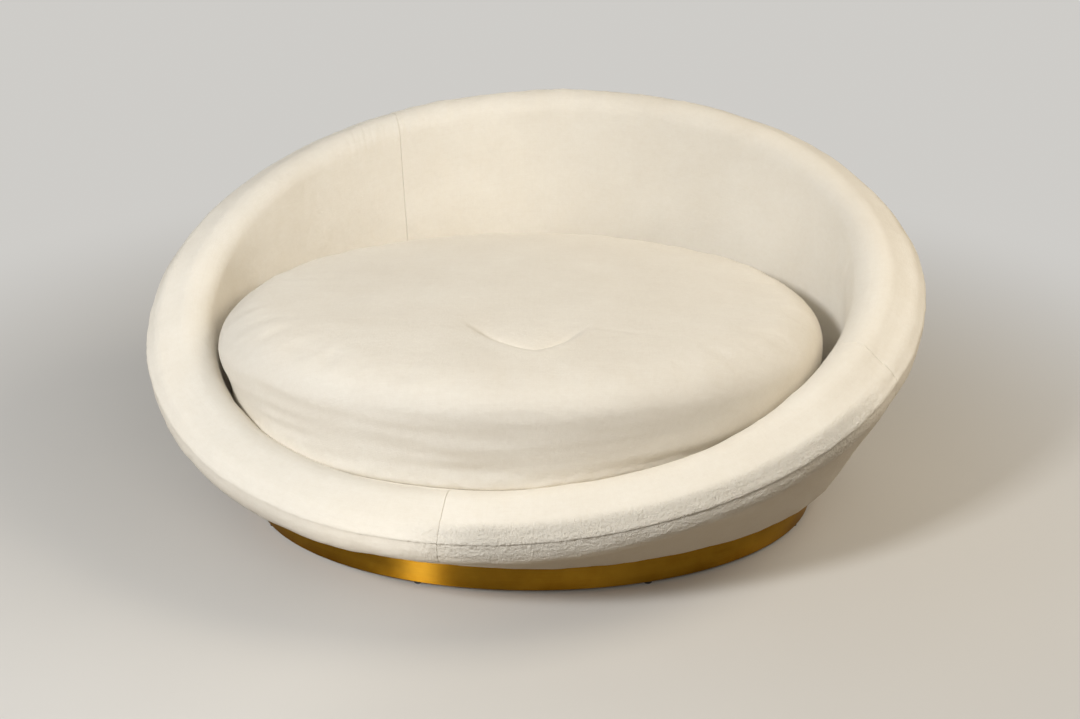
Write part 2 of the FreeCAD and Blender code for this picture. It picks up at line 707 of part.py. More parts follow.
def make_zip():
    tape_low = placket_top()
    half_tape = (ZIP_TAPE_WIDTH - ZIP_TEETH_WIDTH) / 2
    offset = (ZIP_TEETH_WIDTH + half_tape) / 2
    tapes = [zip_bar(half_tape, tape_low, tape_low + ZIP_TAPE_THICK, side * offset) for side in (-1, 1)]
    save("zip_tape", Part.makeCompound(tapes))
    teeth_low = tape_low + ZIP_TAPE_THICK - ZIP_TEETH_THICK
    save("zip_teeth", zip_bar(ZIP_TEETH_WIDTH, teeth_low, tape_low + ZIP_TAPE_THICK))
    slider_x = CUSHION_X - ZIP_LENGTH / 2 + ZIP_SLIDER_LENGTH
    slider_y = CUSHION_Y + ZIP_SET_BACK
    slider_top = tape_low - PIECE_GAP
    slider_low = teeth_low - PIECE_GAP - ZIP_SLIDER_WALL
    body = block(slider_x, slider_y, ZIP_SLIDER_LENGTH, ZIP_SLIDER_WIDTH, slider_low, slider_top)
    channel = block(slider_x, slider_y, ZIP_SLIDER_LENGTH, ZIP_TEETH_WIDTH + 2 * PIECE_GAP,
                    slider_low + ZIP_SLIDER_WALL, slider_top)
    save("zip_slider", body.cut(channel))


make_plinth()
make_shell_frame()
make_deck()
make_upholstery()
make_cushion_filling()
make_cushion_covers()
make_zip()

whole = Part.makeCompound(list(made.values())).optimalBoundingBox(False)
print("nodes", len(made))
print("size %.1f x %.1f x %.1f" % (whole.XLength, whole.YLength, whole.ZLength))
print("middle %.2f, %.2f, bottom %.2f" % (whole.Center.x, whole.Center.y, whole.ZMin))
for name, shape in made.items():
    box = shape.optimalBoundingBox(False)
    print("%-22s valid %s solids %d volume %.4g x %.1f %.1f y %.1f %.1f z %.1f %.1f" % (
        name, shape.isValid(), len(shape.Solids), shape.Volume, box.XMin, box.XMax, box.YMin, box.YMax,
        box.ZMin, box.ZMax))
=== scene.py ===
# %% [markdown]
# # An oval lounge with a tilted padded rim
# The frame is the packed CAD model. Its wood, metal and fasteners stay as they are and get better
# materials. Its cloth and foam are hidden, and soft pieces made here stand in the same places, because a
# CAD solid is too even for cloth.

# %% Load the frame
import json
import math

import bmesh
import bpy
import numpy as np
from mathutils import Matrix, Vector, noise

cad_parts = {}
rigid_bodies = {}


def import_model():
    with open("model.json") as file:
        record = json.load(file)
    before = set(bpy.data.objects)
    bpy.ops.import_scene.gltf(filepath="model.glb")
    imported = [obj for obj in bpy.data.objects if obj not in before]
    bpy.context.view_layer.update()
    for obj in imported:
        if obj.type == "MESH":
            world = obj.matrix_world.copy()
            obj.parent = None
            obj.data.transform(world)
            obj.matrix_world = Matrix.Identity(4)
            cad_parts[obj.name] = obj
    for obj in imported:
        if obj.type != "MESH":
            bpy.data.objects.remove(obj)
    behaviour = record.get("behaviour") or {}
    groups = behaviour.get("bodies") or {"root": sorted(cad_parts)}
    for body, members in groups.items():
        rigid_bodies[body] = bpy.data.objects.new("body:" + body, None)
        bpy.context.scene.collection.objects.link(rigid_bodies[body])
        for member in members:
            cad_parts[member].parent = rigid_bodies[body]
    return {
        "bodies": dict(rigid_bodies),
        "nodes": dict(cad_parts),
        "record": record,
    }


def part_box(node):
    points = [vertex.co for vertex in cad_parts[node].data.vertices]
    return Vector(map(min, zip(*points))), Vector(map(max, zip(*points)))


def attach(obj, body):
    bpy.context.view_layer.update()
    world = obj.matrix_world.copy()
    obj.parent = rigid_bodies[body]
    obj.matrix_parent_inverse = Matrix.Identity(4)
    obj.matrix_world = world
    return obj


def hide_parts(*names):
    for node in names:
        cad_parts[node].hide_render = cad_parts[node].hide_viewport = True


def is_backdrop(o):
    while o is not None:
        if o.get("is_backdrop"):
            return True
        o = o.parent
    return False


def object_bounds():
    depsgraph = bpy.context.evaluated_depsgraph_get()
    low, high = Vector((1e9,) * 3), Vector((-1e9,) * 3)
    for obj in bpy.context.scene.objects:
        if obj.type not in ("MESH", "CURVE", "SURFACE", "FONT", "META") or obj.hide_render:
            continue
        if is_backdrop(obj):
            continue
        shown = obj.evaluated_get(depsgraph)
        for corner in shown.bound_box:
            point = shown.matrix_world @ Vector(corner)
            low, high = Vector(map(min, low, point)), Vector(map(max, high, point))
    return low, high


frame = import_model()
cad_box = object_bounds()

scene = bpy.context.scene
nodes = frame["nodes"]
print("frame:", len(nodes), "nodes on", sorted(frame["bodies"]))

# %% [markdown]
# ## Sizes
# The rim is one rule: an oval centre line that rises to the back and a little to the right. The same
# numbers drive the CAD source, so the cloth lies where the CAD says. What can be measured on the frame is
# measured, so it need not be written twice. Metres and radians from here on.

# %% Driving sizes
RIM_X, RIM_Y = -0.025, -0.065
RIM_HALF_LENGTH, RIM_HALF_DEPTH = 0.782, 0.595
RIM_MEAN_HEIGHT = 0.409
RIM_RISE_BACK, RIM_RISE_RIGHT, RIM_SADDLE = 0.241, 0.052, 0.026
FLARE_LENGTH, FLARE_DEPTH = 0.49, 0.27
ROLL_RADIUS, ROLL_WIDTH = 0.050, 0.040
ROLL_LIFT, ROLL_LIFT_FALL = 0.015, 0.005
COVER_THICK = 0.002
EDGE_SEAM = math.radians(15.0)
BASE_X, BASE_Y, BASE_HALF_LENGTH, BASE_HALF_DEPTH = -0.010, -0.015, 0.685, 0.538
DECK_X, DECK_Y, DECK_HALF_LENGTH, DECK_HALF_DEPTH = -0.017, -0.025, 0.642, 0.475
DECK_FOOT = 0.200
DECK_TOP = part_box("deck_cover")[1].z
SHELL_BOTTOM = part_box("base_panel")[0].z
SEAM_FRONT, SEAM_RIGHT, SEAM_BACK = (math.radians(a) for a in (258.0, 339.0, 471.0))
TURN = 2 * math.pi


def middle_and_half(node):
    """Middle of a node's box and half its size."""
    low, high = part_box(node)
    return (low + high) / 2, (high - low) / 2


PLINTH_MIDDLE, PLINTH_HALF = middle_and_half("brass_band")
CUSHION_MIDDLE, CUSHION_HALF = middle_and_half("cushion_top_cover")
CUSHION_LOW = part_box("cushion_bottom_cover")[0].z
CUSHION_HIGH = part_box("cushion_top_cover")[1].z
CUSHION_SHOULDER, CUSHION_CROWN, CUSHION_EDGE = 0.060, 0.012, 0.080
print("deck top %.4f m, shell bottom %.4f m" % (DECK_TOP, SHELL_BOTTOM))
print("cushion from %.4f to %.4f m" % (CUSHION_LOW, CUSHION_HIGH))

# %% [markdown]
# ## Camera
# The photograph's perspective was solved for a 50 mm lens: the camera stands in front, 1.6 m up, and
# looks 24 degrees down. A camera could also be placed by eye, but then the ovals never match all at once.

# %% Camera
CAMERA_PLACE = (0.014, -2.985, 1.612)
CAMERA_DOWN = math.radians(24.0)
camera_data = bpy.data.cameras.new("camera")
camera_data.lens = 50.0
camera_data.sensor_width = 36.0
camera = bpy.data.objects.new("camera", camera_data)
camera.location = CAMERA_PLACE
camera.rotation_euler = (math.pi / 2 - CAMERA_DOWN, 0.0, 0.0)
scene.collection.objects.link(camera)
scene.camera = camera
scene.view_settings.view_transform = "Standard"
print("camera at", CAMERA_PLACE)

# %% [markdown]
# ## A small language for node trees
# Nodes can be wired up one by one, but a tree is easier to read as arithmetic. Wire holds one socket, and
# its operators add Math nodes. Graph adds every other kind of node with one method. Both serve shaders
# and Geometry Nodes.

# %% Wire
def plug(tree, slot, value):
    """Links a wire to a socket, or sets the socket to a plain value."""
    if isinstance(value, Wire):
        tree.links.new(value.socket, slot)
    else:
        slot.default_value = value


class Wire:
    """One socket of a node tree, to be used in a Python expression."""

    def __init__(self, tree, socket):
        self.tree = tree
        self.socket = socket

    def math(self, operation, *values):
        node = self.tree.nodes.new("ShaderNodeMath")
        node.operation = operation
        for slot, value in zip(node.inputs, values):
            plug(self.tree, slot, value)
        return Wire(self.tree, node.outputs[0])

    def __add__(self, other):
        return self.math("ADD", self, other)

    def __sub__(self, other):
        return self.math("SUBTRACT", self, other)

    def __rsub__(self, other):
        return self.math("SUBTRACT", other, self)

    def __mul__(self, other):
        return self.math("MULTIPLY", self, other)

    def __truediv__(self, other):
        return self.math("DIVIDE", self, other)

    def __rtruediv__(self, other):
        return self.math("DIVIDE", other, self)

    def __neg__(self):
        return self.math("MULTIPLY", self, -1.0)

    def __lt__(self, other):
        return self.math("LESS_THAN", self, other)

    def __abs__(self):
        return self.math("ABSOLUTE", self)

    __radd__ = __add__
    __rmul__ = __mul__

    def sin(self):
        return self.math("SINE", self)

    def cos(self):
        return self.math("COSINE", self)

    def tan(self):
        return self.math("TANGENT", self)

    def acos(self):
        return self.math("ARCCOSINE", self)

    def atan2(self, other):
        return self.math("ARCTAN2", self, other)

    def sqrt(self):
        return self.math("SQRT", self)

    def exp(self):
        return self.math("EXPONENT", self)

    def least(self, other):
        return self.math("MINIMUM", self, other)

    def most(self, other):
        return self.math("MAXIMUM", self, other)

    def between(self, low, high):
        return self.most(low).least(high)


print("Wire knows", len(vars(Wire)), "words")

# %% Graph
class Graph:
    """A node tree that is being built. The inputs of a group are read by name, as graph["Name"]."""

    def __init__(self, tree):
        self.tree = tree
        self.entry = None

    def add(self, kind, settings=None, inputs=None, output=0):
        node = self.tree.nodes.new(kind)
        for name, value in (settings or {}).items():
            setattr(node, name, value)
        for name, value in (inputs or {}).items():
            plug(self.tree, node.inputs[name], value)
        return Wire(self.tree, node.outputs[output])

    def __getitem__(self, name):
        if self.entry is None:
            self.entry = self.tree.nodes.new("NodeGroupInput")
        return Wire(self.tree, self.entry.outputs[name])

    def vector(self, x, y, z):
        return self.add("ShaderNodeCombineXYZ", inputs={0: x, 1: y, 2: z})

    def parts(self, vector):
        return [self.add("ShaderNodeSeparateXYZ", inputs={0: vector}, output=k) for k in range(3)]

    def noise(self, vector, scale, detail=2.0, roughness=0.5):
        return self.add("ShaderNodeTexNoise", inputs={"Vector": vector, "Scale": scale, "Detail": detail,
                                                      "Roughness": roughness})

    def mix(self, factor, first, second):
        return self.add("ShaderNodeMix", {"data_type": "RGBA"}, {0: factor, 6: first, 7: second}, output=2)

    def object_place(self):
        return self.add("ShaderNodeTexCoord", output="Object")

    def bump(self, height):
        """A normal from a height in metres."""
        return self.add("ShaderNodeBump", inputs={"Strength": 1.0, "Distance": 1.0, "Height": height})

    def stored(self, geometry, name, kind, value):
        """Geometry with a value kept on its points under this name."""
        return self.add("GeometryNodeStoreNamedAttribute", {"data_type": kind, "domain": "POINT"},
                        {"Geometry": geometry, "Name": name, "Value": value})

    def moved(self, geometry, place):
        return self.add("GeometryNodeSetPosition", inputs={"Geometry": geometry, "Position": place})

    def circle(self, points, radius):
        return self.add("GeometryNodeCurvePrimitiveCircle", inputs={"Resolution": points, "Radius": radius})

    def unit_grid(self):
        """A flat grid of Columns by Rows, with the share of each point along its two sides, 0 to 1."""
        sides = {"Size X": 1.0, "Size Y": 1.0, "Vertices X": self["Columns"], "Vertices Y": self["Rows"]}
        grid = self.add("GeometryNodeMeshGrid", inputs=sides)
        x, y = self.parts(self.add("GeometryNodeInputPosition"))[:2]
        return grid, x + 0.5, y + 0.5


def linear(red, green, blue):
    """A colour as it is picked on a screen, 0 to 255, as linear light."""
    values = []
    for level in (red / 255, green / 255, blue / 255):
        values.append(level / 12.92 if level <= 0.04045 else ((level + 0.055) / 1.055) ** 2.4)
    return (*values, 1.0)


print("Graph knows", len(vars(Graph)), "words")

# %% [markdown]
# ## Floor and light
# A plain pale floor and studio light. The key lamp stands to the left and in front, as in the photograph,
# so the left of the rim is bright, the inner left wall is in warm shade and the right flank falls off. A
# narrow spot lamp near the floor puts the bright streak on the brass, because an upright wall mirrors
# only what is low. The floor could be a bowl that runs up behind, but a flat one that fades to the sky's
# tone needs no shaping.

# %% Floor
FLOOR_HALF = 14.0
FLOOR_NEAR, FLOOR_FAR = 0.8, 2.3
FLOOR_GLOW = 0.92
PALE = linear(214, 212, 208)


def shader(name):
    """A new material, its node tree and its surface node."""
    material = bpy.data.materials.new(name)
    material.use_nodes = True
    tree = material.node_tree
    surface = tree.nodes["Principled BSDF"]
    return material, Graph(tree), surface


def finish_surface(graph, surface, **sockets):
    """Links or sets sockets of the surface node, named with _ for each space."""
    for name, value in sockets.items():
        plug(graph.tree, surface.inputs[name.replace("_", " ")], value)


def background_rays(graph):
    """1 for rays that look at the background, straight or by way of metal, 0 for those that carry light."""
    straight, mirrored, passed = (graph.add("ShaderNodeLightPath", output="Is %s Ray" % kind)
                                  for kind in ("Camera", "Glossy", "Transmission"))
    return straight.most(mirrored).most(passed)


def pale_floor_material():
    """A matt floor that fades to one pale tone away from the lounge, and throws only dim light back."""
    material, graph, surface = shader("pale_floor")
    place = graph.object_place()
    cloudy = graph.noise(place, 0.8, 3.0)
    finish_surface(graph, surface, Base_Color=graph.mix(cloudy, linear(206, 203, 198), linear(216, 214, 210)),
                   Roughness=0.55, Specular_IOR_Level=0.0)
    east, north = graph.parts(place)[:2]
    away = ((east * east + north * north).sqrt() - FLOOR_NEAR) / (FLOOR_FAR - FLOOR_NEAR)
    away = away.between(0.0, 1.0)
    glow = graph.add("ShaderNodeEmission", inputs={"Color": PALE, "Strength": FLOOR_GLOW})
    pale = graph.add("ShaderNodeMixShader", inputs={0: away * away * (3.0 - 2.0 * away),
                                                    1: Wire(graph.tree, surface.outputs[0]), 2: glow})
    dim = graph.add("ShaderNodeBsdfDiffuse", inputs={"Color": linear(132, 118, 98)})
    blended = graph.add("ShaderNodeMixShader", inputs={0: background_rays(graph), 1: dim, 2: pale})
    graph.tree.links.new(blended.socket, graph.tree.nodes["Material Output"].inputs["Surface"])
    return material


floor_mesh = bpy.data.meshes.new("floor")
floor_corners = [(x * FLOOR_HALF, y * FLOOR_HALF, 0.0) for x, y in ((-1, -1), (1, -1), (1, 1), (-1, 1))]
floor_mesh.from_pydata(floor_corners, [], [(0, 1, 2, 3)])
floor_mesh.materials.append(pale_floor_material())
floor = bpy.data.objects.new("floor", floor_mesh)
scene.collection.objects.link(floor)
floor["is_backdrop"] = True
print("floor of", 2 * FLOOR_HALF, "m")

# %% Sky and lamps
SKY_GLOW, AMBIENT_GLOW = 0.9, 0.19
AMBIENT_TONE = (1.0, 0.95, 0.87, 1.0)
WARM, WARMER, COOL, SOFT_WHITE = (1.0, 0.95, 0.87), (1.0, 0.88, 0.70), (0.98, 0.99, 1.0), (1.0, 0.97, 0.92)


def studio_sky():
    """Pale where it is looked at, and a weak warm light on everything else."""
    world = bpy.data.worlds.new("studio")
    world.use_nodes = True
    graph = Graph(world.node_tree)
    graph.tree.nodes.clear()
    ambient = graph.add("ShaderNodeBackground", inputs={"Color": AMBIENT_TONE, "Strength": AMBIENT_GLOW})
    backdrop = graph.add("ShaderNodeBackground", inputs={"Color": PALE, "Strength": SKY_GLOW})
    sky = graph.add("ShaderNodeMixShader", inputs={0: background_rays(graph), 1: ambient, 2: backdrop})
    end = graph.tree.nodes.new("ShaderNodeOutputWorld")
    graph.tree.links.new(sky.socket, end.inputs["Surface"])
    return world


def lamp(name, place, aim, watts, size, colour, cone=None):
    """A soft lamp of this size, or a spot lamp of this size when the angle of its cone is given."""
    data = bpy.data.lights.new(name, "SPOT" if cone else "AREA")
    data.energy = watts
    data.color = colour
    if cone:
        data.shadow_soft_size = size
        data.spot_size = cone
        data.spot_blend = 1.0
    else:
        data.size = size
    light = bpy.data.objects.new(name, data)
    light.location = place
    light.rotation_euler = (Vector(aim) - Vector(place)).to_track_quat("-Z", "Y").to_euler()
    scene.collection.objects.link(light)


scene.world = studio_sky()
lamp("key", (-2.1, -2.5, 2.5), (0.0, 0.0, 0.4), 98.0, 0.65, COOL)
lamp("fill", (2.4, -0.1, 2.5), (-0.6, 0.1, 0.5), 44.0, 1.5, WARMER)
lamp("front", (0.5, -3.3, 2.4), (0.0, 0.4, 0.5), 19.0, 1.8, WARM)
lamp("crest", (0.2, 2.4, 2.8), (0.0, 0.2, 0.6), 4.0, 1.6, SOFT_WHITE)
lamp("glint", (-1.63, -2.65, 0.13), (-0.21, -0.47, 0.03), 130.0, 0.12, SOFT_WHITE, math.radians(10.0))
print("sky and", len(bpy.data.lights), "lamps")

# %% [markdown]
# ## Ivory cloth
# The cover is a soft napped cotton: a fine plain weave under a short nap, so its edges catch light, with
# faint streaks along the weave and slightly uneven tone. A photograph of cloth could be laid on, but
# noise stays sharp from any distance and never repeats. The weave follows a UV map in metres, which each
# cloth piece carries, so it lies along the surface everywhere.

# %% Cloth materials
SLUB_LONG, SLUB_FINE = 9.0, 420.0
CRUMB_DEEP = 0.009


def weave_material(name, pale, deep, threads, relief, nap):
    """Napped cloth: threads to the metre, and the depth in metres of the weave and of the nap."""
    material, graph, surface = shader(name)
    flat = graph.add("ShaderNodeUVMap", {"uv_map": "cloth"})
    u, v = graph.parts(flat)[:2]
    place = graph.object_place()
    over = (u * (threads * TURN)).sin() * (v * (threads * TURN)).sin()
    slub_u = graph.noise(graph.vector(u * SLUB_LONG, v * SLUB_FINE, 0.0), 1.0, 3.0, 0.6)
    slub_v = graph.noise(graph.vector(u * SLUB_FINE, v * SLUB_LONG, 4.0), 1.0, 3.0, 0.6)
    tuft = graph.noise(place, 420.0, 3.0, 0.65)
    clump = graph.noise(place, 95.0, 3.0, 0.6)
    cloud = graph.noise(place, 7.0, 4.0, 0.55)
    tone = (0.5 + (cloud - 0.5) * 0.9 + (clump - 0.5) * 0.5 + (slub_u - 0.5) * 0.35
            + (slub_v - 0.5) * 0.25 + (tuft - 0.5) * 0.4).between(0.0, 1.0)
    worn = graph.add("ShaderNodeAttribute", {"attribute_name": "worn"}, output="Fac")
    crumb = graph.noise(place, 170.0, 4.0, 0.7)
    height = (over * relief + (tuft - 0.5) * nap + (clump - 0.5) * (nap * 1.3) + (slub_u - 0.5) * (nap * 0.5)
              + (crumb - 0.5) * worn * CRUMB_DEEP)
    finish_surface(graph, surface, Base_Color=graph.mix(tone, deep, pale),
                   Roughness=0.78 + (clump - 0.5) * 0.2, Normal=graph.bump(height))
    surface.inputs["Sheen Weight"].default_value = 0.30
    surface.inputs["Sheen Roughness"].default_value = 0.42
    surface.inputs["Sheen Tint"].default_value = (1.0, 0.96, 0.88, 1.0)
    surface.inputs["Specular IOR Level"].default_value = 0.22
    return material


IVORY = weave_material("ivory_cloth", linear(247, 242, 231), linear(235, 227, 212),
                       threads=620.0, relief=0.00010, nap=0.0007)
CUSHION_CLOTH = weave_material("cushion_cloth", linear(241, 236, 225), linear(226, 218, 204),
                               threads=620.0, relief=0.00010, nap=0.0007)
WELT_CLOTH = weave_material("welt_cloth", linear(248, 242, 230), linear(236, 227, 211),
                            threads=700.0, relief=0.00012, nap=0.0004)
DECK_CLOTH = weave_material("deck_cloth", linear(228, 219, 202), linear(210, 199, 178),
                            threads=480.0, relief=0.00022, nap=0.0003)
print("cloth materials:", IVORY.name, CUSHION_CLOTH.name, WELT_CLOTH.name, DECK_CLOTH.name)

# %% [markdown]
# ## Rim upholstery
# Six cloth panels cover the foam: three over the top and down the inner wall, three round the outside.
# They could be sculpted, but the whole shape follows one rule, so Geometry Nodes build it: a flat grid is
# bent so that one side runs round the rim and the other along the wall's section. The same tree pulls the
# cloth in at the seams and adds the pulls, the lumps and the rubbed nap of an old cover.

# %% The rim's rule as fields
def group(name, sizes):
    """An empty Geometry Nodes tree with these named number inputs."""
    tree = bpy.data.node_groups.new(name, "GeometryNodeTree")
    tree.interface.new_socket(name="Geometry", in_out="OUTPUT", socket_type="NodeSocketGeometry")
    for label, value in sizes.items():
        kind = "NodeSocketInt" if isinstance(value, int) else "NodeSocketFloat"
        tree.interface.new_socket(name=label, in_out="INPUT", socket_type=kind).default_value = value
    return Graph(tree)


def close_group(graph, geometry, material):
    """Ends a tree in Realize Instances and Set Material."""
    real = graph.add("GeometryNodeRealizeInstances", inputs={"Geometry": geometry})
    smooth = graph.add("GeometryNodeSetShadeSmooth", inputs={0: real})
    painted = graph.add("GeometryNodeSetMaterial", inputs={"Geometry": smooth, "Material": material})
    end = graph.tree.nodes.new("NodeGroupOutput")
    graph.tree.links.new(painted.socket, end.inputs[0])


def grown(name, tree, **sizes):
    """A plain mesh object from a tree, with these inputs set."""
    shell = bpy.data.objects.new(name, bpy.data.meshes.new(name))
    scene.collection.objects.link(shell)
    modifier = shell.modifiers.new("rule", "NODES")
    modifier.node_group = tree
    named = {item.name: item.identifier for item in tree.interface.items_tree if item.in_out == "INPUT"}
    for label, value in sizes.items():
        modifier[named[label.replace("_", " ")]] = value
    bpy.context.view_layer.update()
    mesh = bpy.data.meshes.new_from_object(shell.evaluated_get(bpy.context.evaluated_depsgraph_get()))
    shell.modifiers.clear()
    shell.data = mesh
    mesh.name = name
    return shell


def rim_line(turn):
    """Place, outward normal, height and speed of the rim's centre line at an angle."""
    rise = RIM_RISE_BACK * turn.sin() + RIM_RISE_RIGHT * turn.cos() - RIM_SADDLE * (turn * 2.0).cos()
    slope = RIM_RISE_BACK * turn.cos() - RIM_RISE_RIGHT * turn.sin() + 2.0 * RIM_SADDLE * (turn * 2.0).sin()
    reach_x = RIM_HALF_LENGTH + FLARE_LENGTH * rise
    reach_y = RIM_HALF_DEPTH + FLARE_DEPTH * rise
    along_x = FLARE_LENGTH * slope * turn.cos() - reach_x * turn.sin()
    along_y = FLARE_DEPTH * slope * turn.sin() + reach_y * turn.cos()
    speed = (along_x * along_x + along_y * along_y).sqrt()
    x = RIM_X + reach_x * turn.cos()
    y = RIM_Y + reach_y * turn.sin()
    return x, y, along_y / speed, -along_x / speed, RIM_MEAN_HEIGHT + rise, speed


def reach(x, y, nx, ny, oval):
    """Distance from the centre line to an oval, which is its middle x, y, half length and half depth."""
    px = (x - oval[0]) / oval[2]
    py = (y - oval[1]) / oval[3]
    dx = nx / oval[2]
    dy = ny / oval[3]
    a = dx * dx + dy * dy
    b = px * dx + py * dy
    c = px * px + py * py - 1.0
    return ((b * b - a * c).sqrt() - b) / a


def touch(run, rise):
    """Bearing of a foot from a roll's centre, the angle to where its line touches, and the line's length."""
    away = (run * run + rise * rise).sqrt()
    return rise.atan2(run), (ROLL_RADIUS / away).acos(), (away * away - ROLL_RADIUS * ROLL_RADIUS).sqrt()


def grid_fields(graph):
    """The flat grid, its turn round the rim and its share along the section, finer near the seams."""
    grid, u, v = graph.unit_grid()
    eased = u * u * (3.0 - 2.0 * u)
    u = u * (1.0 - graph["Crowding"]) + eased * graph["Crowding"]
    v = v * (1.0 - graph["Crowding"] * 0.8 + graph["Crowding"] * 0.8 * v)
    return grid, graph["Start"] + (graph["End"] - graph["Start"]) * u, v


def seam_roll(distance, radius):
    """How far cloth turns in at a sewn edge: a quarter round over this radius."""
    share = (1.0 - distance / radius).between(0.0, 1.0)
    return ((1.0 - share * share).sqrt() - 1.0) * radius


def window(value, middle, half, soft):
    """1 inside middle +- half, fading to 0 over soft."""
    share = ((half + soft - abs(value - middle)) / soft).between(0.0, 1.0)
    return share * share * (3.0 - 2.0 * share)


print("rim rule ready")

# %% Lumps, pulls and puckers
SEAM_PULL, SEAM_PULL_WIDE = 0.0008, 0.022
EDGE_RIDGE, EDGE_RIDGE_AT, EDGE_RIDGE_WIDE = 0.0030, 0.004, 0.009
EDGE_LIP, EDGE_LIP_WIDE = 0.0020, 0.004
EDGE_HOLLOW, EDGE_HOLLOW_WIDE = 0.0012, 0.020
PUCKER, SEAM_PITCH, EDGE_PITCH = 0.0004, 0.019, 0.027
LUMP, SMALL_LUMP, CREST_PULL = 0.010, 0.0026, 0.0058
EDGE_FUZZ, WORN_FUZZ = 0.0014, 0.0030
THICK_WALL = 0.012
THICK_TURN = [math.radians(a) for a in (345.0, 12.0, 34.0)]
CREST_TURN = [math.radians(a) for a in (93.0, 26.0, 20.0)]
WORN_TURN = [math.radians(a) for a in (294.0, 28.0, 16.0)]


def cloth_relief(graph, spot, turn, along, speed, inside):
    """Outward offset of the cloth from the smooth rule. along is the distance from the rim's edge seam."""
    sewn = ((turn - graph["Start"]) * speed).least((graph["End"] - turn) * speed)
    turned_in = seam_roll(sewn, graph["Seam Radius"]) + seam_roll(along, graph["Edge Radius"])
    pulled = (sewn / -SEAM_PULL_WIDE).exp() * -SEAM_PULL
    if inside:
        ridge = (along - EDGE_RIDGE_AT) / EDGE_RIDGE_WIDE
        pulled = pulled + (ridge * ridge * -1.0).exp() * EDGE_RIDGE
        pulled = pulled + window(turn, *THICK_TURN) * window(along, 0.165, 0.045, 0.080) * THICK_WALL
    else:
        pulled = pulled + (along / -EDGE_LIP_WIDE).exp() * EDGE_LIP
        pulled = pulled - (along / -EDGE_HOLLOW_WIDE).exp() * EDGE_HOLLOW
    pucker = ((along * (TURN / SEAM_PITCH)).sin() * (sewn / -0.012).exp()
              + (turn * speed * (TURN / EDGE_PITCH)).sin() * (along / -0.010).exp()) * PUCKER
    lump = (graph.noise(spot, 5.5, 2.0) - 0.5) * LUMP + (graph.noise(spot, 24.0, 2.0) - 0.5) * SMALL_LUMP
    layer = 3.0 if inside else 1.0
    crest_pull = graph.noise(graph.vector(turn * speed * 34.0, along * 6.0, layer), 1.0, 2.0) - 0.5
    pulls = crest_pull * window(turn_home(turn), *CREST_TURN) * (CREST_PULL * window(along, 0.06, 0.09, 0.07))
    fuzz = graph.noise(spot, 85.0, 3.0, 0.65) - 0.5
    rough = fuzz * EDGE_FUZZ * window(along, 0.0, 0.030, 0.040)
    return turned_in + pulled + pucker + lump + pulls + rough + fuzz * worn_patch(turn, along) * WORN_FUZZ


def worn_patch(turn, along):
    """Where the nap is rubbed to crumbs: the rim's outer edge, right of the front seam."""
    return window(turn_home(turn), *WORN_TURN) * window(along, 0.0, 0.022, 0.030)


def turn_home(turn):
    """An angle brought back to one turn from 0."""
    return turn.math("FLOORED_MODULO", turn, TURN)


print("cloth relief ready")

# %% The two sections
HEM_FADE = 0.02


def inside_section(turn, v, centre):
    """Over the roll from the edge seam, across the crest and straight down the inner wall."""
    x, y, nx, ny, height = centre[:5]
    foot = reach(x, y, nx, ny, (DECK_X, DECK_Y, DECK_HALF_LENGTH, DECK_HALF_DEPTH))
    lift = ROLL_LIFT - ROLL_LIFT_FALL * turn.sin()
    bearing, spread, straight = touch(foot + ROLL_WIDTH, DECK_FOOT - (height + lift))
    wall = bearing + (bearing < 0.0) * TURN - spread
    top = math.pi / 2 - lift.atan2(ROLL_WIDTH)
    crest = (lift * lift + ROLL_WIDTH * ROLL_WIDTH).sqrt()
    first = ROLL_RADIUS * (top - EDGE_SEAM)
    inner = (wall - top) * ROLL_RADIUS
    along = v * (inner + straight + (first + crest))
    over_inner = (along - (first + crest)).between(0.0, inner)
    down = (along - (first + crest) - inner).most(0.0)
    share = ((along - first) / crest).between(0.0, 1.0)
    angle = EDGE_SEAM + (along.least(first) + over_inner) / ROLL_RADIUS
    s = angle.cos() * ROLL_RADIUS - share * ROLL_WIDTH - down * angle.sin()
    z = height + share * lift + angle.sin() * ROLL_RADIUS + down * angle.cos()
    return along, angle, s, z


def outside_section(v, centre, hem_radius, hem_width):
    """From the edge seam down the flank, round the hem and a little way in under the shell."""
    x, y, nx, ny, height = centre[:5]
    foot = reach(x, y, nx, ny, (BASE_X, BASE_Y, BASE_HALF_LENGTH, BASE_HALF_DEPTH))
    bearing, spread, straight = touch(foot, (SHELL_BOTTOM - COVER_THICK) - height)
    flank = bearing + spread
    first = (EDGE_SEAM - flank) * ROLL_RADIUS
    fold = (flank + math.pi / 2) * hem_radius
    flat = straight - ((flank + math.pi / 2) / 2.0).tan() * hem_radius
    along = v * (first + flat + fold + hem_width)
    on_roll = along.least(first)
    down = (along - first).between(0.0, flat)
    folded = (along - first - flat).between(0.0, fold)
    under = (along - first - flat - fold).most(0.0)
    roll_angle = EDGE_SEAM - on_roll / ROLL_RADIUS
    hem_angle = flank - folded / hem_radius
    angle = roll_angle - folded / hem_radius
    s = (roll_angle.cos() * ROLL_RADIUS + down * flank.sin()
         + (hem_angle.cos() - flank.cos()) * hem_radius - under)
    z = (height + roll_angle.sin() * ROLL_RADIUS - down * flank.cos()
         + (hem_angle.sin() - flank.sin()) * hem_radius)
    return along, angle, s, z, 1.0 - (under / HEM_FADE).between(0.0, 1.0)


print("sections ready, cloth %.1f mm thick" % (1000 * COVER_THICK))

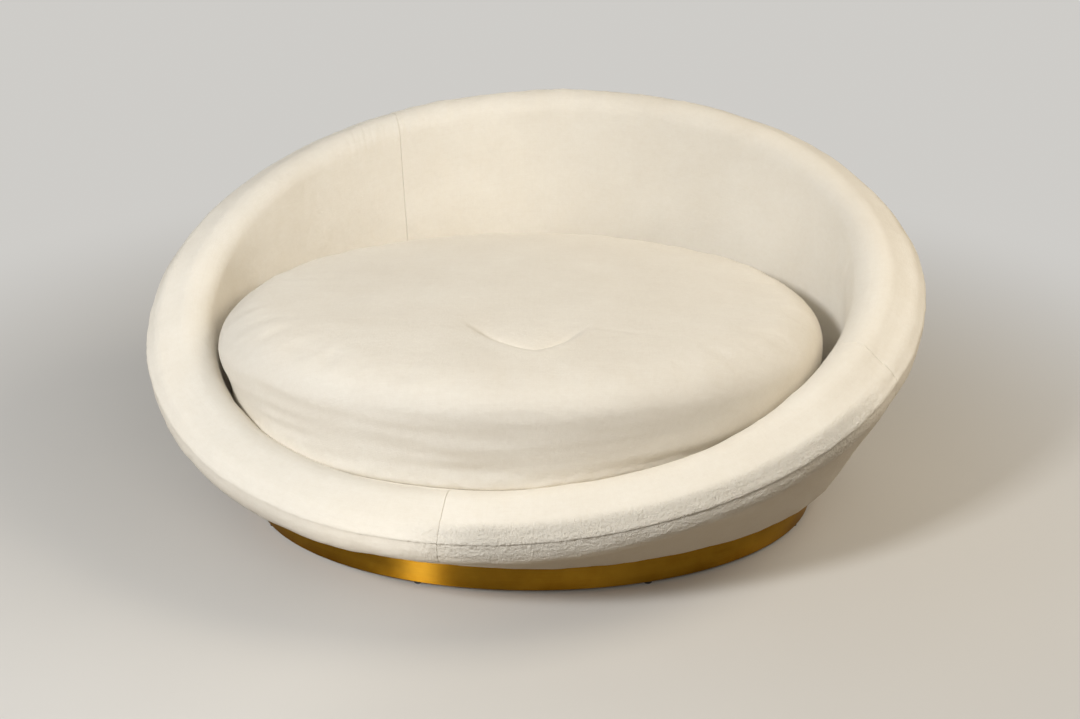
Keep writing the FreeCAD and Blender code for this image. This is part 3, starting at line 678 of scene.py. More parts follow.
# %% The two panel trees
def panel_tree(name, inside):
    """A panel over the rim and down the inner wall, or one down the outside and under the shell."""
    graph = group(name, {"Start": 0.0, "End": 1.0, "Columns": 100, "Rows": 60, "Crowding": 0.85,
                         "Seam Radius": 0.0012, "Edge Radius": 0.0012, "Hem Radius": 0.016,
                         "Hem Width": 0.045})
    grid, turn, v = grid_fields(graph)
    centre = rim_line(turn)
    x, y, nx, ny, height, speed = centre
    if inside:
        along, angle, s, z = inside_section(turn, v, centre)
        loose = 1.0
    else:
        along, angle, s, z, loose = outside_section(v, centre, graph["Hem Radius"], graph["Hem Width"])
    spot = graph.vector(x + s * nx, y + s * ny, z)
    offset = cloth_relief(graph, spot, turn, along, speed, inside) * loose
    s = s + offset * angle.cos()
    z = z + offset * angle.sin()
    mapped = graph.stored(grid, "cloth_flat", "FLOAT_VECTOR", graph.vector(turn * speed, along, 0.0))
    marked = graph.stored(mapped, "worn", "FLOAT", worn_patch(turn, along))
    bent = graph.moved(marked, graph.vector(x + s * nx, y + s * ny, z))
    if not inside:
        bent = graph.add("GeometryNodeFlipFaces", inputs={"Mesh": bent})
    close_group(graph, bent, IVORY)
    return graph.tree


INSIDE_TREE = panel_tree("inside_panel", True)
OUTSIDE_TREE = panel_tree("outside_panel", False)
print("panel trees:", len(INSIDE_TREE.nodes), "and", len(OUTSIDE_TREE.nodes), "nodes")

# %% The six panels
CLOTH_STEP = 0.0052
MEAN_REACH = 0.72
INSIDE_ROWS, OUTSIDE_ROWS = 116, 92


def lay_cloth_map(piece):
    """Turns the stored flat coordinates into the UV map that the weave follows."""
    mesh = piece.data
    flat = np.zeros(len(mesh.vertices) * 3, np.float32)
    mesh.attributes["cloth_flat"].data.foreach_get("vector", flat)
    corner = np.zeros(len(mesh.loops), np.int32)
    mesh.loops.foreach_get("vertex_index", corner)
    uv = mesh.uv_layers.new(name="cloth")
    uv.data.foreach_set("uv", flat.reshape(-1, 3)[corner, :2].ravel())
    mesh.attributes.remove(mesh.attributes["cloth_flat"])


def thicken(piece, thickness):
    """Gives a sheet its thickness, inward."""
    solid = piece.modifiers.new("thickness", "SOLIDIFY")
    solid.thickness = thickness
    solid.offset = -1.0


def cover_panel(name, tree, start, end, rows, *stands_for):
    """Makes one panel between two seams and hands it over."""
    columns = int((end - start) * MEAN_REACH / CLOTH_STEP)
    panel = grown(name, tree, Start=start, End=end, Columns=columns, Rows=rows)
    lay_cloth_map(panel)
    thicken(panel, COVER_THICK)
    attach(panel, "lounge")
    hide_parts(*stands_for)
    print(name, len(panel.data.polygons), "faces")


PANELS = {"front": (SEAM_FRONT, SEAM_RIGHT, ["rim_foam_4", "rim_foam_5"]),
          "back": (SEAM_RIGHT, SEAM_BACK, ["rim_foam_1", "rim_foam_2"]),
          "left": (SEAM_BACK, SEAM_FRONT + TURN, ["rim_foam_3"])}
for side, (first, last, foam) in PANELS.items():
    cover_panel("rim_inside_" + side, INSIDE_TREE, first, last, INSIDE_ROWS, "inside_cover_" + side, *foam)
    cover_panel("rim_outside_" + side, OUTSIDE_TREE, first, last, OUTSIDE_ROWS, "outside_cover_" + side)

# %% [markdown]
# ## Seat deck
# Under the cushion lies a padded deck in plain cloth. It is flat where the cushion rests and rolls down
# at its edge, where the wall's cloth is tucked in. A cloth simulation could settle it, but the cushion
# hides most of it, so a grid bent into an oval by Geometry Nodes is enough, with small puckers round the
# edge.

# %% Deck
DECK_EASE = 0.0004
PUCKERS_ROUND, PUCKER_LONG = 96.0, 0.028


def deck_tree():
    """A grid bent into an oval that rolls down at its edge."""
    graph = group("deck", {"Columns": 320, "Rows": 60, "Roll": 0.020, "Pucker": 0.0012})
    grid, u, v = graph.unit_grid()
    turn = u * TURN
    share = v * (1.6 - 0.6 * v)
    out_x = turn.cos() * DECK_HALF_LENGTH * share
    out_y = turn.sin() * DECK_HALF_DEPTH * share
    edge = (1.0 - share) * DECK_HALF_DEPTH
    crease = (turn * PUCKERS_ROUND + graph.noise(graph.vector(out_x, out_y, 0.0), 9.0) * 9.0).sin()
    z = (DECK_TOP - DECK_EASE + seam_roll(edge, graph["Roll"])
         - (1.0 + crease) * graph["Pucker"] * (edge / -PUCKER_LONG).exp())
    mapped = graph.stored(grid, "cloth_flat", "FLOAT_VECTOR", graph.vector(out_x, out_y, 0.0))
    bent = graph.moved(mapped, graph.vector(DECK_X + out_x, DECK_Y + out_y, z))
    joined = graph.add("GeometryNodeMergeByDistance", inputs={"Geometry": bent, "Distance": 0.00005})
    close_group(graph, graph.add("GeometryNodeFlipFaces", inputs={"Mesh": joined}), DECK_CLOTH)
    return graph.tree


deck = grown("seat_deck", deck_tree())
lay_cloth_map(deck)
thicken(deck, COVER_THICK)
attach(deck, "lounge")
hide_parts("deck_pad", "deck_cover")
print("deck", len(deck.data.polygons), "faces")

# %% [markdown]
# ## Seat cushion
# The cushion is a sewn case over foam and fibre. Its fullness between the seams is hard to draw and comes
# by itself in a simulation. So a closed oval form, a little smaller than the CAD solid, is remeshed into
# even faces and blown up by Blender's cloth with its underside and its welt line held, as the seams hold
# a real case. The marks of use come from years of sitting, which no simulation here knows, so they are
# pressed in by rule: a dent in the middle with a sharp crease before it, shallow wrinkles where the cloth
# hangs over the front, and ends that have swollen towards the wall. The low front edge is fuller, because
# the rim is lowest there and doesn't hold it in.

# %% Cushion form
CUSHION_INSET, UNDER_INSET = 0.001, 0.0003
EDGE_WINDOW = [math.radians(a) for a in (237.0, 24.0, 42.0)]
REACH_WINDOW = [math.radians(a) for a in (251.0, 4.0, 46.0)]
FULLER_EDGE, FULLER_REACH = 0.050, 0.007
STRETCH = CUSHION_HALF.x / CUSHION_HALF.y


def fuller(turn, middle, half, soft):
    """1 within half of the middle angle, where the cushion bulges over the low rim, fading to 0 over soft."""
    away = np.abs((turn - middle + math.pi) % TURN - math.pi)
    share = np.clip((half + soft - away) / soft, 0.0, 1.0)
    return share * share * (3.0 - 2.0 * share)


def edge_radius(turn):
    """Radius of the cushion's lower edge, which is tighter where the front is fuller."""
    return CUSHION_EDGE - FULLER_EDGE * fuller(turn, *EDGE_WINDOW)


def side_reach(turn):
    """Radius of the cushion's side, across its depth."""
    return CUSHION_HALF.y + FULLER_REACH * fuller(turn, *REACH_WINDOW)


def reach_at(turn, z):
    """Largest radius of the cushion, across its depth, at an angle and a height."""
    radius = edge_radius(turn)
    side = side_reach(turn)
    below = np.clip(CUSHION_LOW + radius - z, 0.0, radius)
    above = np.clip(z - (CUSHION_HIGH - CUSHION_SHOULDER - CUSHION_CROWN), 0.0, CUSHION_SHOULDER)
    return (side - radius + np.sqrt(radius ** 2 - below ** 2)
            - CUSHION_SHOULDER + np.sqrt(CUSHION_SHOULDER ** 2 - above ** 2))


def oval_form(columns=144, steps=14):
    """Closed rings from the middle of the underside to the middle of the top."""
    turn = np.linspace(0.0, TURN, columns, endpoint=False)
    radius = edge_radius(turn)
    side = side_reach(turn) - CUSHION_INSET
    low = CUSHION_LOW + UNDER_INSET
    high = CUSHION_HIGH - CUSHION_INSET
    rings = [((side - radius) * share, np.full(columns, low)) for share in np.linspace(0.1, 0.95, 8)]
    for angle in np.linspace(-90.0, 0.0, steps):
        rings.append((side - radius + radius * math.cos(math.radians(angle)),
                      low + radius + radius * math.sin(math.radians(angle))))
    break_high = high - CUSHION_CROWN - CUSHION_SHOULDER
    for angle in np.linspace(0.0, 84.0, steps):
        rings.append((side - CUSHION_SHOULDER + CUSHION_SHOULDER * math.cos(math.radians(angle)),
                      np.full(columns, break_high + CUSHION_SHOULDER * math.sin(math.radians(angle)))))
    last, last_high = rings[-1]
    for share in np.linspace(0.9, 0.1, 9):
        rings.append((last * share, high + (last_high - high) * share ** 2))
    points = [(CUSHION_MIDDLE.x, CUSHION_MIDDLE.y, low)]
    for ring, z in rings:
        x = CUSHION_MIDDLE.x + ring * STRETCH * np.cos(turn)
        y = CUSHION_MIDDLE.y + ring * np.sin(turn)
        points.extend(zip(x.tolist(), y.tolist(), z.tolist()))
    points.append((CUSHION_MIDDLE.x, CUSHION_MIDDLE.y, high))
    top = len(points) - 1
    faces = []
    for k in range(columns):
        ahead = (k + 1) % columns
        faces.append((0, 1 + ahead, 1 + k))
        for ring in range(len(rings) - 1):
            low_row = 1 + ring * columns
            high_row = low_row + columns
            faces.append((low_row + k, low_row + ahead, high_row + ahead, high_row + k))
        faces.append((top - columns + k, top - columns + ahead, top))
    mesh = bpy.data.meshes.new("cushion_form")
    mesh.from_pydata(points, [], faces)
    return mesh


def baked(piece):
    """A plain copy of a piece's mesh with its modifiers applied, which are then removed."""
    mesh = bpy.data.meshes.new_from_object(piece.evaluated_get(bpy.context.evaluated_depsgraph_get()))
    piece.modifiers.clear()
    piece.data = mesh
    return piece


def places(piece):
    """A piece's points as rows of x, y and z."""
    points = np.zeros(len(piece.data.vertices) * 3, np.float32)
    piece.data.vertices.foreach_get("co", points)
    return points.reshape(-1, 3).astype(float)


def put(piece, points):
    """Moves a piece's points to these rows."""
    piece.data.vertices.foreach_set("co", points.astype(np.float32).ravel())
    piece.data.update()


def oval_polar(points):
    """Angle round the cushion and radius across its depth."""
    x = (points[:, 0] - CUSHION_MIDDLE.x) / STRETCH
    y = points[:, 1] - CUSHION_MIDDLE.y
    return np.arctan2(y, x) % TURN, np.hypot(x, y)


print("cushion rule ready, stretched by %.3f along the length" % STRETCH)

# %% Even faces
VOXEL = 0.010
cushion = bpy.data.objects.new("seat_cushion", oval_form())
scene.collection.objects.link(cushion)
even = cushion.modifiers.new("even", "REMESH")
even.mode = "VOXEL"
even.voxel_size = VOXEL
baked(cushion)
print("cushion form", len(cushion.data.vertices), "points")

# %% Cushion filling
PUFF_CAP, PUFF_PRESSURE, PUFF_STEPS = 0.011, 4.0, 20
UNDER_HELD, WELT_HELD = 0.008, VOXEL * 0.7


def sewn_down(points):
    """The points that the seams hold: the underside and the line of the welt."""
    turn, radius = oval_polar(points)
    welt_high = CUSHION_LOW + edge_radius(turn) * (1.0 - math.sqrt(0.5))
    on_welt = (np.abs(points[:, 2] - welt_high) < WELT_HELD) & (radius > CUSHION_HALF.y * 0.8)
    return (points[:, 2] < CUSHION_LOW + UNDER_HELD) | on_welt


def fill_case(piece):
    """Blows the case up as cloth, and holds each point to the largest move that the filling gives."""
    slack = places(piece)
    sewn = piece.vertex_groups.new(name="sewn")
    sewn.add([int(k) for k in np.flatnonzero(sewn_down(slack))], 1.0, "REPLACE")
    cloth = piece.modifiers.new("puff", "CLOTH")
    cloth.settings.use_pressure = True
    cloth.settings.uniform_pressure_force = PUFF_PRESSURE
    cloth.settings.vertex_group_mass = "sewn"
    cloth.settings.effector_weights.gravity = 0.0
    cloth.settings.quality = 5
    cloth.collision_settings.use_collision = False
    for step in range(1, PUFF_STEPS + 1):
        scene.frame_set(step)
    baked(piece)
    move = places(piece) - slack
    length = np.linalg.norm(move, axis=1)
    put(piece, slack + move * np.minimum(1.0, PUFF_CAP / np.maximum(length, 1e-9))[:, None])
    scene.frame_set(1)
    print("cushion filled, largest move %.4f m" % length.max())


fill_case(cushion)
finer = cushion.modifiers.new("finer", "SUBSURF")
finer.levels = 1
finer.render_levels = 1
baked(cushion)
print("cushion", len(cushion.data.polygons), "faces")

# %% Dent, wrinkles and swollen ends
DENT_X, DENT_Y, DENT_LEFT, DENT_RIGHT = 0.004, -0.300, 0.165, 0.120
DENT_DEEP, DENT_BEHIND, DENT_BEFORE = 0.026, 0.060, 0.024
CREASE_LEFT, CREASE_RIGHT = 2.1, 2.6
CREASE_DEEP, CREASE_WIDE = 0.0055, 0.010
SWELL_HIGH, SWELL_BEFORE, SWELL_WIDE = 0.0045, 0.045, 0.028
ASIDE_X, ASIDE_Y, ASIDE_DEEP = 0.175, -0.235, 0.0022
HOLLOW_X, HOLLOW_Y, HOLLOW_DEEP = 0.02, -0.17, 0.006
LEFT_END, RIGHT_END = math.radians(188.0), math.radians(348.0)
LEFT_SWELL, RIGHT_SWELL = 0.020, 0.015
TOP_WAVE, TOP_RIPPLE, SIDE_WAVE, SIDE_FOLD = 0.0030, 0.0010, 0.0016, 0.0040
CLOTH_EASE = 0.001


def streaks(points, stretch, seed):
    """Smooth noise about 0, drawn out by a stretch along each axis."""
    return np.array([noise.noise(Vector((x * stretch[0], y * stretch[1], z * stretch[2] + seed)))
                     for x, y, z in points])


def bell(value, width):
    """1 at 0, falling smoothly to nothing over a few widths."""
    return np.exp(-(value / width) ** 2)


def pressed(points):
    """How far the top is pressed down: a dent with a crease in front of it, and small side creases."""
    x = points[:, 0] - DENT_X
    half = np.where(x < 0.0, DENT_LEFT, DENT_RIGHT)
    crease = DENT_Y + np.where(x < 0.0, CREASE_LEFT, CREASE_RIGHT) * np.minimum(np.abs(x), half) ** 1.5
    behind = points[:, 1] - crease
    across = np.clip(1.0 - (x / half) ** 2, 0.0, 1.0) ** 2
    dip = np.where(behind > 0.0, np.exp(-behind / DENT_BEHIND), bell(behind, DENT_BEFORE))
    line = CREASE_DEEP * bell(behind, CREASE_WIDE) - SWELL_HIGH * bell(behind + SWELL_BEFORE, SWELL_WIDE)
    beside = points[:, 0] - ASIDE_X
    aside = bell(beside, 0.05) * bell(points[:, 1] - ASIDE_Y + 0.3 * beside, 0.010)
    broad = bell(points[:, 0] - HOLLOW_X, 0.30) * bell(points[:, 1] - HOLLOW_Y, 0.16)
    return across * (DENT_DEEP * dip + line) + ASIDE_DEEP * aside + HOLLOW_DEEP * broad


def end_swell(turn, z):
    """The filling has moved to the ends, where the cushion swells towards the wall."""
    to_right = (turn - RIGHT_END + math.pi) % TURN - math.pi
    left = LEFT_SWELL * bell(turn - LEFT_END, 0.45) * bell(z - 0.360, 0.052)
    return left + RIGHT_SWELL * bell(to_right, 0.50) * bell(z - 0.35, 0.080)


def press_top(points):
    """Dents the top and makes it uneven. Gives the share of each point that lies on the side."""
    on_top = np.clip((points[:, 2] - (CUSHION_HIGH - 0.075)) / 0.05, 0.0, 1.0)
    on_side = (1.0 - on_top) * np.clip((points[:, 2] - CUSHION_LOW - 0.01) / 0.03, 0.0, 1.0)
    points[:, 2] -= pressed(points) * on_top
    wave = TOP_WAVE * streaks(points, (5.0, 8.0, 5.0), 3.0)
    points[:, 2] += on_top * (wave + TOP_RIPPLE * streaks(points, (14.0, 34.0, 14.0), 9.0))
    return on_side


def swell_side(points, on_side):
    """Moves the side out: slow waves, folds over the front and the left, and the swollen ends."""
    turn = oval_polar(points)[0]
    before = points[:, 1] < CUSHION_MIDDLE.y
    over_front = bell(points[:, 0] + 0.12, 0.30) * before
    over_left = bell(points[:, 0] + 0.50, 0.14) * before
    folds = SIDE_FOLD * streaks(points, (4.5, 6.0, 46.0), 21.0) * np.maximum(over_front, over_left)
    out = on_side * (SIDE_WAVE * streaks(points, (9.0, 9.0, 20.0), 5.0) + folds)
    out += end_swell(turn, points[:, 2])
    points[:, 0] += out * np.cos(turn)
    points[:, 1] += out * np.sin(turn)


def hold_in(points):
    """Holds the side to the sewn case and lays the underside flat."""
    turn, radius = oval_polar(points)
    limit = reach_at(turn, points[:, 2]) + CLOTH_EASE + end_swell(turn, points[:, 2])
    under_crown = points[:, 2] < CUSHION_HIGH - CUSHION_CROWN - 0.02
    squeeze = np.where(under_crown, np.minimum(1.0, limit / np.maximum(radius, 1e-6)), 1.0)
    points[:, 0] = CUSHION_MIDDLE.x + (points[:, 0] - CUSHION_MIDDLE.x) * squeeze
    points[:, 1] = CUSHION_MIDDLE.y + (points[:, 1] - CUSHION_MIDDLE.y) * squeeze
    flat = (points[:, 2] < CUSHION_LOW + 0.012) & (radius < side_reach(turn) - edge_radius(turn))
    points[:, 2] = np.where(flat, CUSHION_LOW, np.maximum(points[:, 2], CUSHION_LOW))


used = places(cushion)
swell_side(used, press_top(used))
hold_in(used)
put(cushion, used)
print("cushion top %.4f m" % used[:, 2].max())

# %% Zip slot
ZIP_LOW, ZIP_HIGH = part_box("zip_tape")
SLIDER_LOW, SLIDER_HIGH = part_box("zip_slider")
JOINTS = {joint["name"]: joint for joint in frame["record"]["behaviour"]["joints"]}
ZIP_TRAVEL = JOINTS["zip_slide"]["range_m"][1]
PULL_LENGTH, PULL_LAP, PULL_ROOM = 0.020, 0.004, 0.003
SLOT_WIDE, SLOT_DEEP = 0.018, 0.0062
SLOT_MIDDLE = (ZIP_LOW.y + ZIP_HIGH.y) / 2
SLOT_END = max(ZIP_HIGH.x, SLIDER_HIGH.x + ZIP_TRAVEL + PULL_LENGTH - PULL_LAP + PULL_ROOM)


def near_slot(face):
    """True for a face of the flat underside close to the zip's line."""
    low = max(corner.co.z for corner in face.verts) < CUSHION_LOW + 0.0005
    return low and abs(face.calc_center_median().y - SLOT_MIDDLE) < SLOT_WIDE * 2


def in_slot(face):
    """True for a face that lies inside the slot's outline."""
    centre = face.calc_center_median()
    under = face.normal.z < -0.9 and centre.z < CUSHION_LOW + 0.001
    return under and abs(centre.y - SLOT_MIDDLE) < SLOT_WIDE / 2 and ZIP_LOW.x < centre.x < SLOT_END


def raise_faces(bm, faces, height):
    """Extrudes faces and lifts the new ones by a height."""
    raised = bmesh.ops.extrude_face_region(bm, geom=faces)["geom"]
    corners = [part for part in raised if isinstance(part, bmesh.types.BMVert)]
    bmesh.ops.translate(bm, verts=corners, vec=(0, 0, height))


def cut_slot(mesh):
    """Cuts the zip's slot into the flat underside, with room for the pull at its end."""
    planes = [((0, SLOT_MIDDLE - SLOT_WIDE / 2, 0), (0, 1, 0)),
              ((0, SLOT_MIDDLE + SLOT_WIDE / 2, 0), (0, 1, 0)),
              ((ZIP_LOW.x, 0, 0), (1, 0, 0)), ((SLOT_END, 0, 0), (1, 0, 0))]
    bm = bmesh.new()
    bm.from_mesh(mesh)
    for spot, normal in planes:
        faces = [face for face in bm.faces if near_slot(face)]
        edges = dict.fromkeys(edge for face in faces for edge in face.edges)
        corners = dict.fromkeys(corner for face in faces for corner in face.verts)
        bmesh.ops.bisect_plane(bm, geom=[*faces, *edges, *corners], plane_co=spot, plane_no=normal)
    inside = [face for face in bm.faces if in_slot(face)]
    raise_faces(bm, inside, SLOT_DEEP)
    bmesh.ops.delete(bm, geom=inside, context="FACES_ONLY")
    bmesh.ops.recalc_face_normals(bm, faces=bm.faces)
    bm.to_mesh(mesh)
    bm.free()
    return len(inside)


slot_faces = cut_slot(cushion.data)
print("zip slot of", slot_faces, "faces, to x = %.4f m" % SLOT_END)

# %% Cloth map and hand-over
def unfold(piece):
    """Lays the cushion's cloth flat: from the middle of the top outward, by distance over the surface."""
    points = places(piece)
    turn, radius = oval_polar(points)
    drop = np.clip(CUSHION_HIGH - CUSHION_CROWN - points[:, 2], 0.0, None) * (radius > CUSHION_HALF.y * 0.6)
    spread = 1.0 + drop / np.maximum(radius, 0.05)
    flat = piece.data.attributes.new("cloth_flat", "FLOAT_VECTOR", "POINT")
    laid = np.stack([(points[:, 0] - CUSHION_MIDDLE.x) * spread, (points[:, 1] - CUSHION_MIDDLE.y) * spread,
                     np.zeros(len(points))], axis=1)
    flat.data.foreach_set("vector", laid.astype(np.float32).ravel())
    lay_cloth_map(piece)


unfold(cushion)
cushion.data.materials.clear()
cushion.data.materials.append(CUSHION_CLOTH)
cushion.data.shade_smooth()
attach(cushion, "cushion")
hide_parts("cushion_core", "cushion_crown_wrap", "cushion_top_cover", "cushion_bottom_cover")
print("cushion", len(cushion.data.polygons), "faces")

# %% [markdown]
# ## Welt
# A cord covered in the same cloth is sewn in along the cushion's lower edge. A curve with a bevel would
# do, but its points would be typed in. Geometry Nodes bend a circle to the same rule as the cushion's
# edge and sweep a small round along it.

# %% Welt along the lower edge
WELT_RUN, WELT_BIAS = 0.56, 0.2


def welt_tree():
    """A round swept along the cushion's lower edge, a little proud of it."""
    graph = group("welt", {"Radius": 0.004, "Stand Out": 0.0025, "Points": 560, "Wave": 0.0006})
    ring = graph.circle(graph["Points"], 1.0)
    x, y = graph.parts(graph.add("GeometryNodeInputPosition"))[:2]
    turn = y.atan2(x)
    turn = turn + (turn < 0.0) * TURN
    radius = CUSHION_EDGE - FULLER_EDGE * window(turn, *EDGE_WINDOW)
    wave = graph.noise(graph.vector(x, y, 0.0), 14.0) - 0.5
    arm = (radius + graph["Stand Out"]) * math.sqrt(0.5) + wave * graph["Wave"]
    out = CUSHION_HALF.y + FULLER_REACH * window(turn, *REACH_WINDOW) - radius + arm
    place = graph.vector(CUSHION_MIDDLE.x + out * turn.cos() * STRETCH, CUSHION_MIDDLE.y + out * turn.sin(),
                         CUSHION_LOW + radius - arm)
    on_bias = graph.vector(turn * WELT_RUN, turn * WELT_BIAS, 0.0)
    path = graph.moved(graph.stored(ring, "cloth_flat", "FLOAT_VECTOR", on_bias), place)
    cord = graph.circle(12, graph["Radius"])
    swept = graph.add("GeometryNodeCurveToMesh", inputs={"Curve": path, "Profile Curve": cord})
    close_group(graph, swept, WELT_CLOTH)
    return graph.tree


welt = grown("cushion_piping", welt_tree())
lay_cloth_map(welt)
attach(welt, "cushion")
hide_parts("cushion_welt")
print("welt", len(welt.data.polygons), "faces")

# %% [markdown]
# ## Brass band
# A strip of brass is bent round the plinth and meets at the back in a butt joint. It is brushed along its
# length. The CAD solid could stay, but a thin strip never lies quite even, so the tree adds a slow wave
# of a fraction of a millimetre, which breaks up the reflections. Fine lines along the strip spread a
# lamp's reflection up and down, so the metal is anisotropic, turned by a quarter.

# %% Brass
BRUSH_DEEP, SCRATCH_DEEP = 0.00005, 0.00002
BRASS_THICK = 0.0007


def brass_material():
    """Brass brushed along the band and smudged by hands. Its tones are painted darker than bare brass, as a
    painted reflection of a dark floor, and painted shade darkens it further towards the floor.
    """
    material, graph, surface = shader("brushed_brass")
    x, y, z = graph.parts(graph.object_place())
    turn = (y - PLINTH_MIDDLE.y).atan2(x - PLINTH_MIDDLE.x)
    brush = graph.noise(graph.vector(turn * 5.0, z * 1500.0, 0.0), 1.0, 4.0, 0.65)
    scratch = graph.noise(graph.vector(turn * 22.0, z * 5200.0, 3.0), 1.0, 2.0)
    smudge = graph.noise(graph.vector(x, y, z), 11.0, 5.0, 0.6)
    # painted shade: the tone darkens over the lowest 30 mm of the band, next to the floor
    painted_floor_shade = ((0.030 - z) / 0.024).between(0.0, 1.0)
    tone = (0.5 + (smudge - 0.5) * 1.1 + (brush - 0.5) * 0.7 - painted_floor_shade * 0.35).between(0.0, 1.0)
    height = (brush - 0.5) * BRUSH_DEEP + (scratch - 0.5) * SCRATCH_DEEP
    # painted reflection: both tones are darker than bare brass, standing in for a dark floor mirrored in the
    # band
    finish_surface(graph, surface, Base_Color=graph.mix(tone, linear(124, 84, 12), linear(184, 140, 44)),
                   Metallic=1.0, Roughness=0.48 + (brush - 0.5) * 0.16 + (smudge - 0.5) * 0.12,
                   Normal=graph.bump(height))
    surface.inputs["Anisotropic"].default_value = 1.0
    surface.inputs["Anisotropic Rotation"].default_value = 0.25
    return material


def band_tree(material):
    """A strip with rolled edges round the plinth, open by a hair at the back."""
    graph = group("band", {"Columns": 640, "Rows": 26, "Edge": 0.0009, "Wave": 0.0005, "Joint": 0.0005})
    grid, u, v = graph.unit_grid()
    share = v * v * (3.0 - 2.0 * v)
    joint = graph["Joint"] / PLINTH_HALF.x
    turn = math.pi / 2 + joint + u * (TURN - 2.0 * joint)
    high = share * (2.0 * PLINTH_HALF.z)
    edge = high.least(2.0 * PLINTH_HALF.z - high)
    wave = graph.noise(graph.vector(turn.cos() * 2.6, turn.sin() * 2.6, share * 0.6), 1.0, 2.0) - 1.0
    inward = seam_roll(edge, graph["Edge"]) + wave * graph["Wave"]
    place = graph.vector(PLINTH_MIDDLE.x + (PLINTH_HALF.x + inward) * turn.cos(),
                         PLINTH_MIDDLE.y + (PLINTH_HALF.y + inward) * turn.sin(),
                         PLINTH_MIDDLE.z - PLINTH_HALF.z + high)
    close_group(graph, graph.moved(grid, place), material)
    return graph.tree


BRASS = brass_material()
band = grown("plinth_band", band_tree(BRASS))
thicken(band, BRASS_THICK)
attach(band, "lounge")
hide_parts("brass_band")
print("band", len(band.data.polygons), "faces")

# %% [markdown]
# ## Zip
# A nylon zip closes the case. Its tooth is one small block with a slim head. Two Array modifiers could
# repeat it, but one tree with named inputs keeps the rows half a pitch apart. The slider stays as the CAD
# has it and gets a flat pull.

# %% Metal and nylon
def metal_material(name, dark, light, rough):
    """Plated metal with a fine drawn grain."""
    material, graph, surface = shader(name)
    place = graph.object_place()
    x, y, z = graph.parts(place)
    grain = graph.noise(graph.vector(x * 900.0, y * 60.0, z * 900.0), 1.0, 3.0)
    spots = graph.noise(place, 55.0, 3.0)
    finish_surface(graph, surface, Base_Color=graph.mix(spots, dark, light), Metallic=1.0,
                   Roughness=rough + (grain - 0.5) * 0.2, Normal=graph.bump((grain - 0.5) * 0.00004))
    return material


def plastic_material(name, dark, light, rough):
    """Moulded nylon with a fine grain and rubbed patches."""
    material, graph, surface = shader(name)
    place = graph.object_place()
    grain = graph.noise(place, 900.0, 3.0)
    wear = graph.noise(place, 60.0, 4.0)
    finish_surface(graph, surface, Base_Color=graph.mix(wear, dark, light),
                   Roughness=rough + (wear - 0.5) * 0.2, Normal=graph.bump((grain - 0.5) * 0.00006))
    return material


STEEL = metal_material("zinc_steel", linear(150, 150, 146), linear(198, 198, 194), 0.36)
TOOTH = plastic_material("ivory_nylon", linear(214, 204, 182), linear(230, 222, 204), 0.4)
NYLON = plastic_material("dark_nylon", linear(30, 30, 31), linear(48, 47, 46), 0.55)
print("metal and nylon:", STEEL.name, TOOTH.name, NYLON.name)

# %% Zip teeth
TEETH_LOW, TEETH_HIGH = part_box("zip_teeth")
TEETH_MIDDLE = (TEETH_LOW + TEETH_HIGH) / 2
TOOTH_SHARE, TOOTH_SLIM = 0.46, 0.35
TEETH_START, ROW_APART = 0.002, 0.0008


def tooth_tree():
    """Two rows of teeth that face each other, half a pitch apart."""
    graph = group("zip_teeth", {"Pitch": 0.0032, "Width": 0.0030, "Thick": 0.0010, "Count": 236})
    size = graph.vector(graph["Pitch"] * TOOTH_SHARE, graph["Width"], graph["Thick"])
    block = graph.add("GeometryNodeMeshCube", inputs={"Size": size, "Vertices X": 2, "Vertices Y": 3,
                                                      "Vertices Z": 2})
    x, y, z = graph.parts(graph.add("GeometryNodeInputPosition"))
    slim = 1.0 - TOOTH_SLIM * (y / graph["Width"] + 0.5)
    tooth = graph.moved(block, graph.vector(x * slim, y, z))
    joined = graph.tree.nodes.new("GeometryNodeJoinGeometry")
    for side in (-1.0, 1.0):
        first = graph.vector(TEETH_LOW.x + TEETH_START + (1.0 + side) * 0.25 * graph["Pitch"],
                             TEETH_MIDDLE.y - side * ROW_APART, TEETH_MIDDLE.z)
        line = graph.add("GeometryNodeMeshLine", inputs={"Count": graph["Count"], "Start Location": first,
                                                         "Offset": graph.vector(graph["Pitch"], 0.0, 0.0)})
        facing = graph.vector(0.0, 0.0, math.pi / 2 * (1.0 - side))
        row = graph.add("GeometryNodeInstanceOnPoints", inputs={"Points": line, "Instance": tooth,
                                                                "Rotation": facing})
        graph.tree.links.new(row.socket, joined.inputs[0])
    close_group(graph, Wire(graph.tree, joined.outputs[0]), TOOTH)
    return graph.tree


teeth = grown("zip_tooth_rows", tooth_tree())
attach(teeth, "cushion")
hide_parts("zip_teeth")
print("teeth", len(teeth.data.polygons), "faces")

# %% Zip pull
PULL_WIDE, PULL_THICK, PULL_GAP, PULL_BEVEL = 0.0062, 0.0011, 0.0002, 0.00025


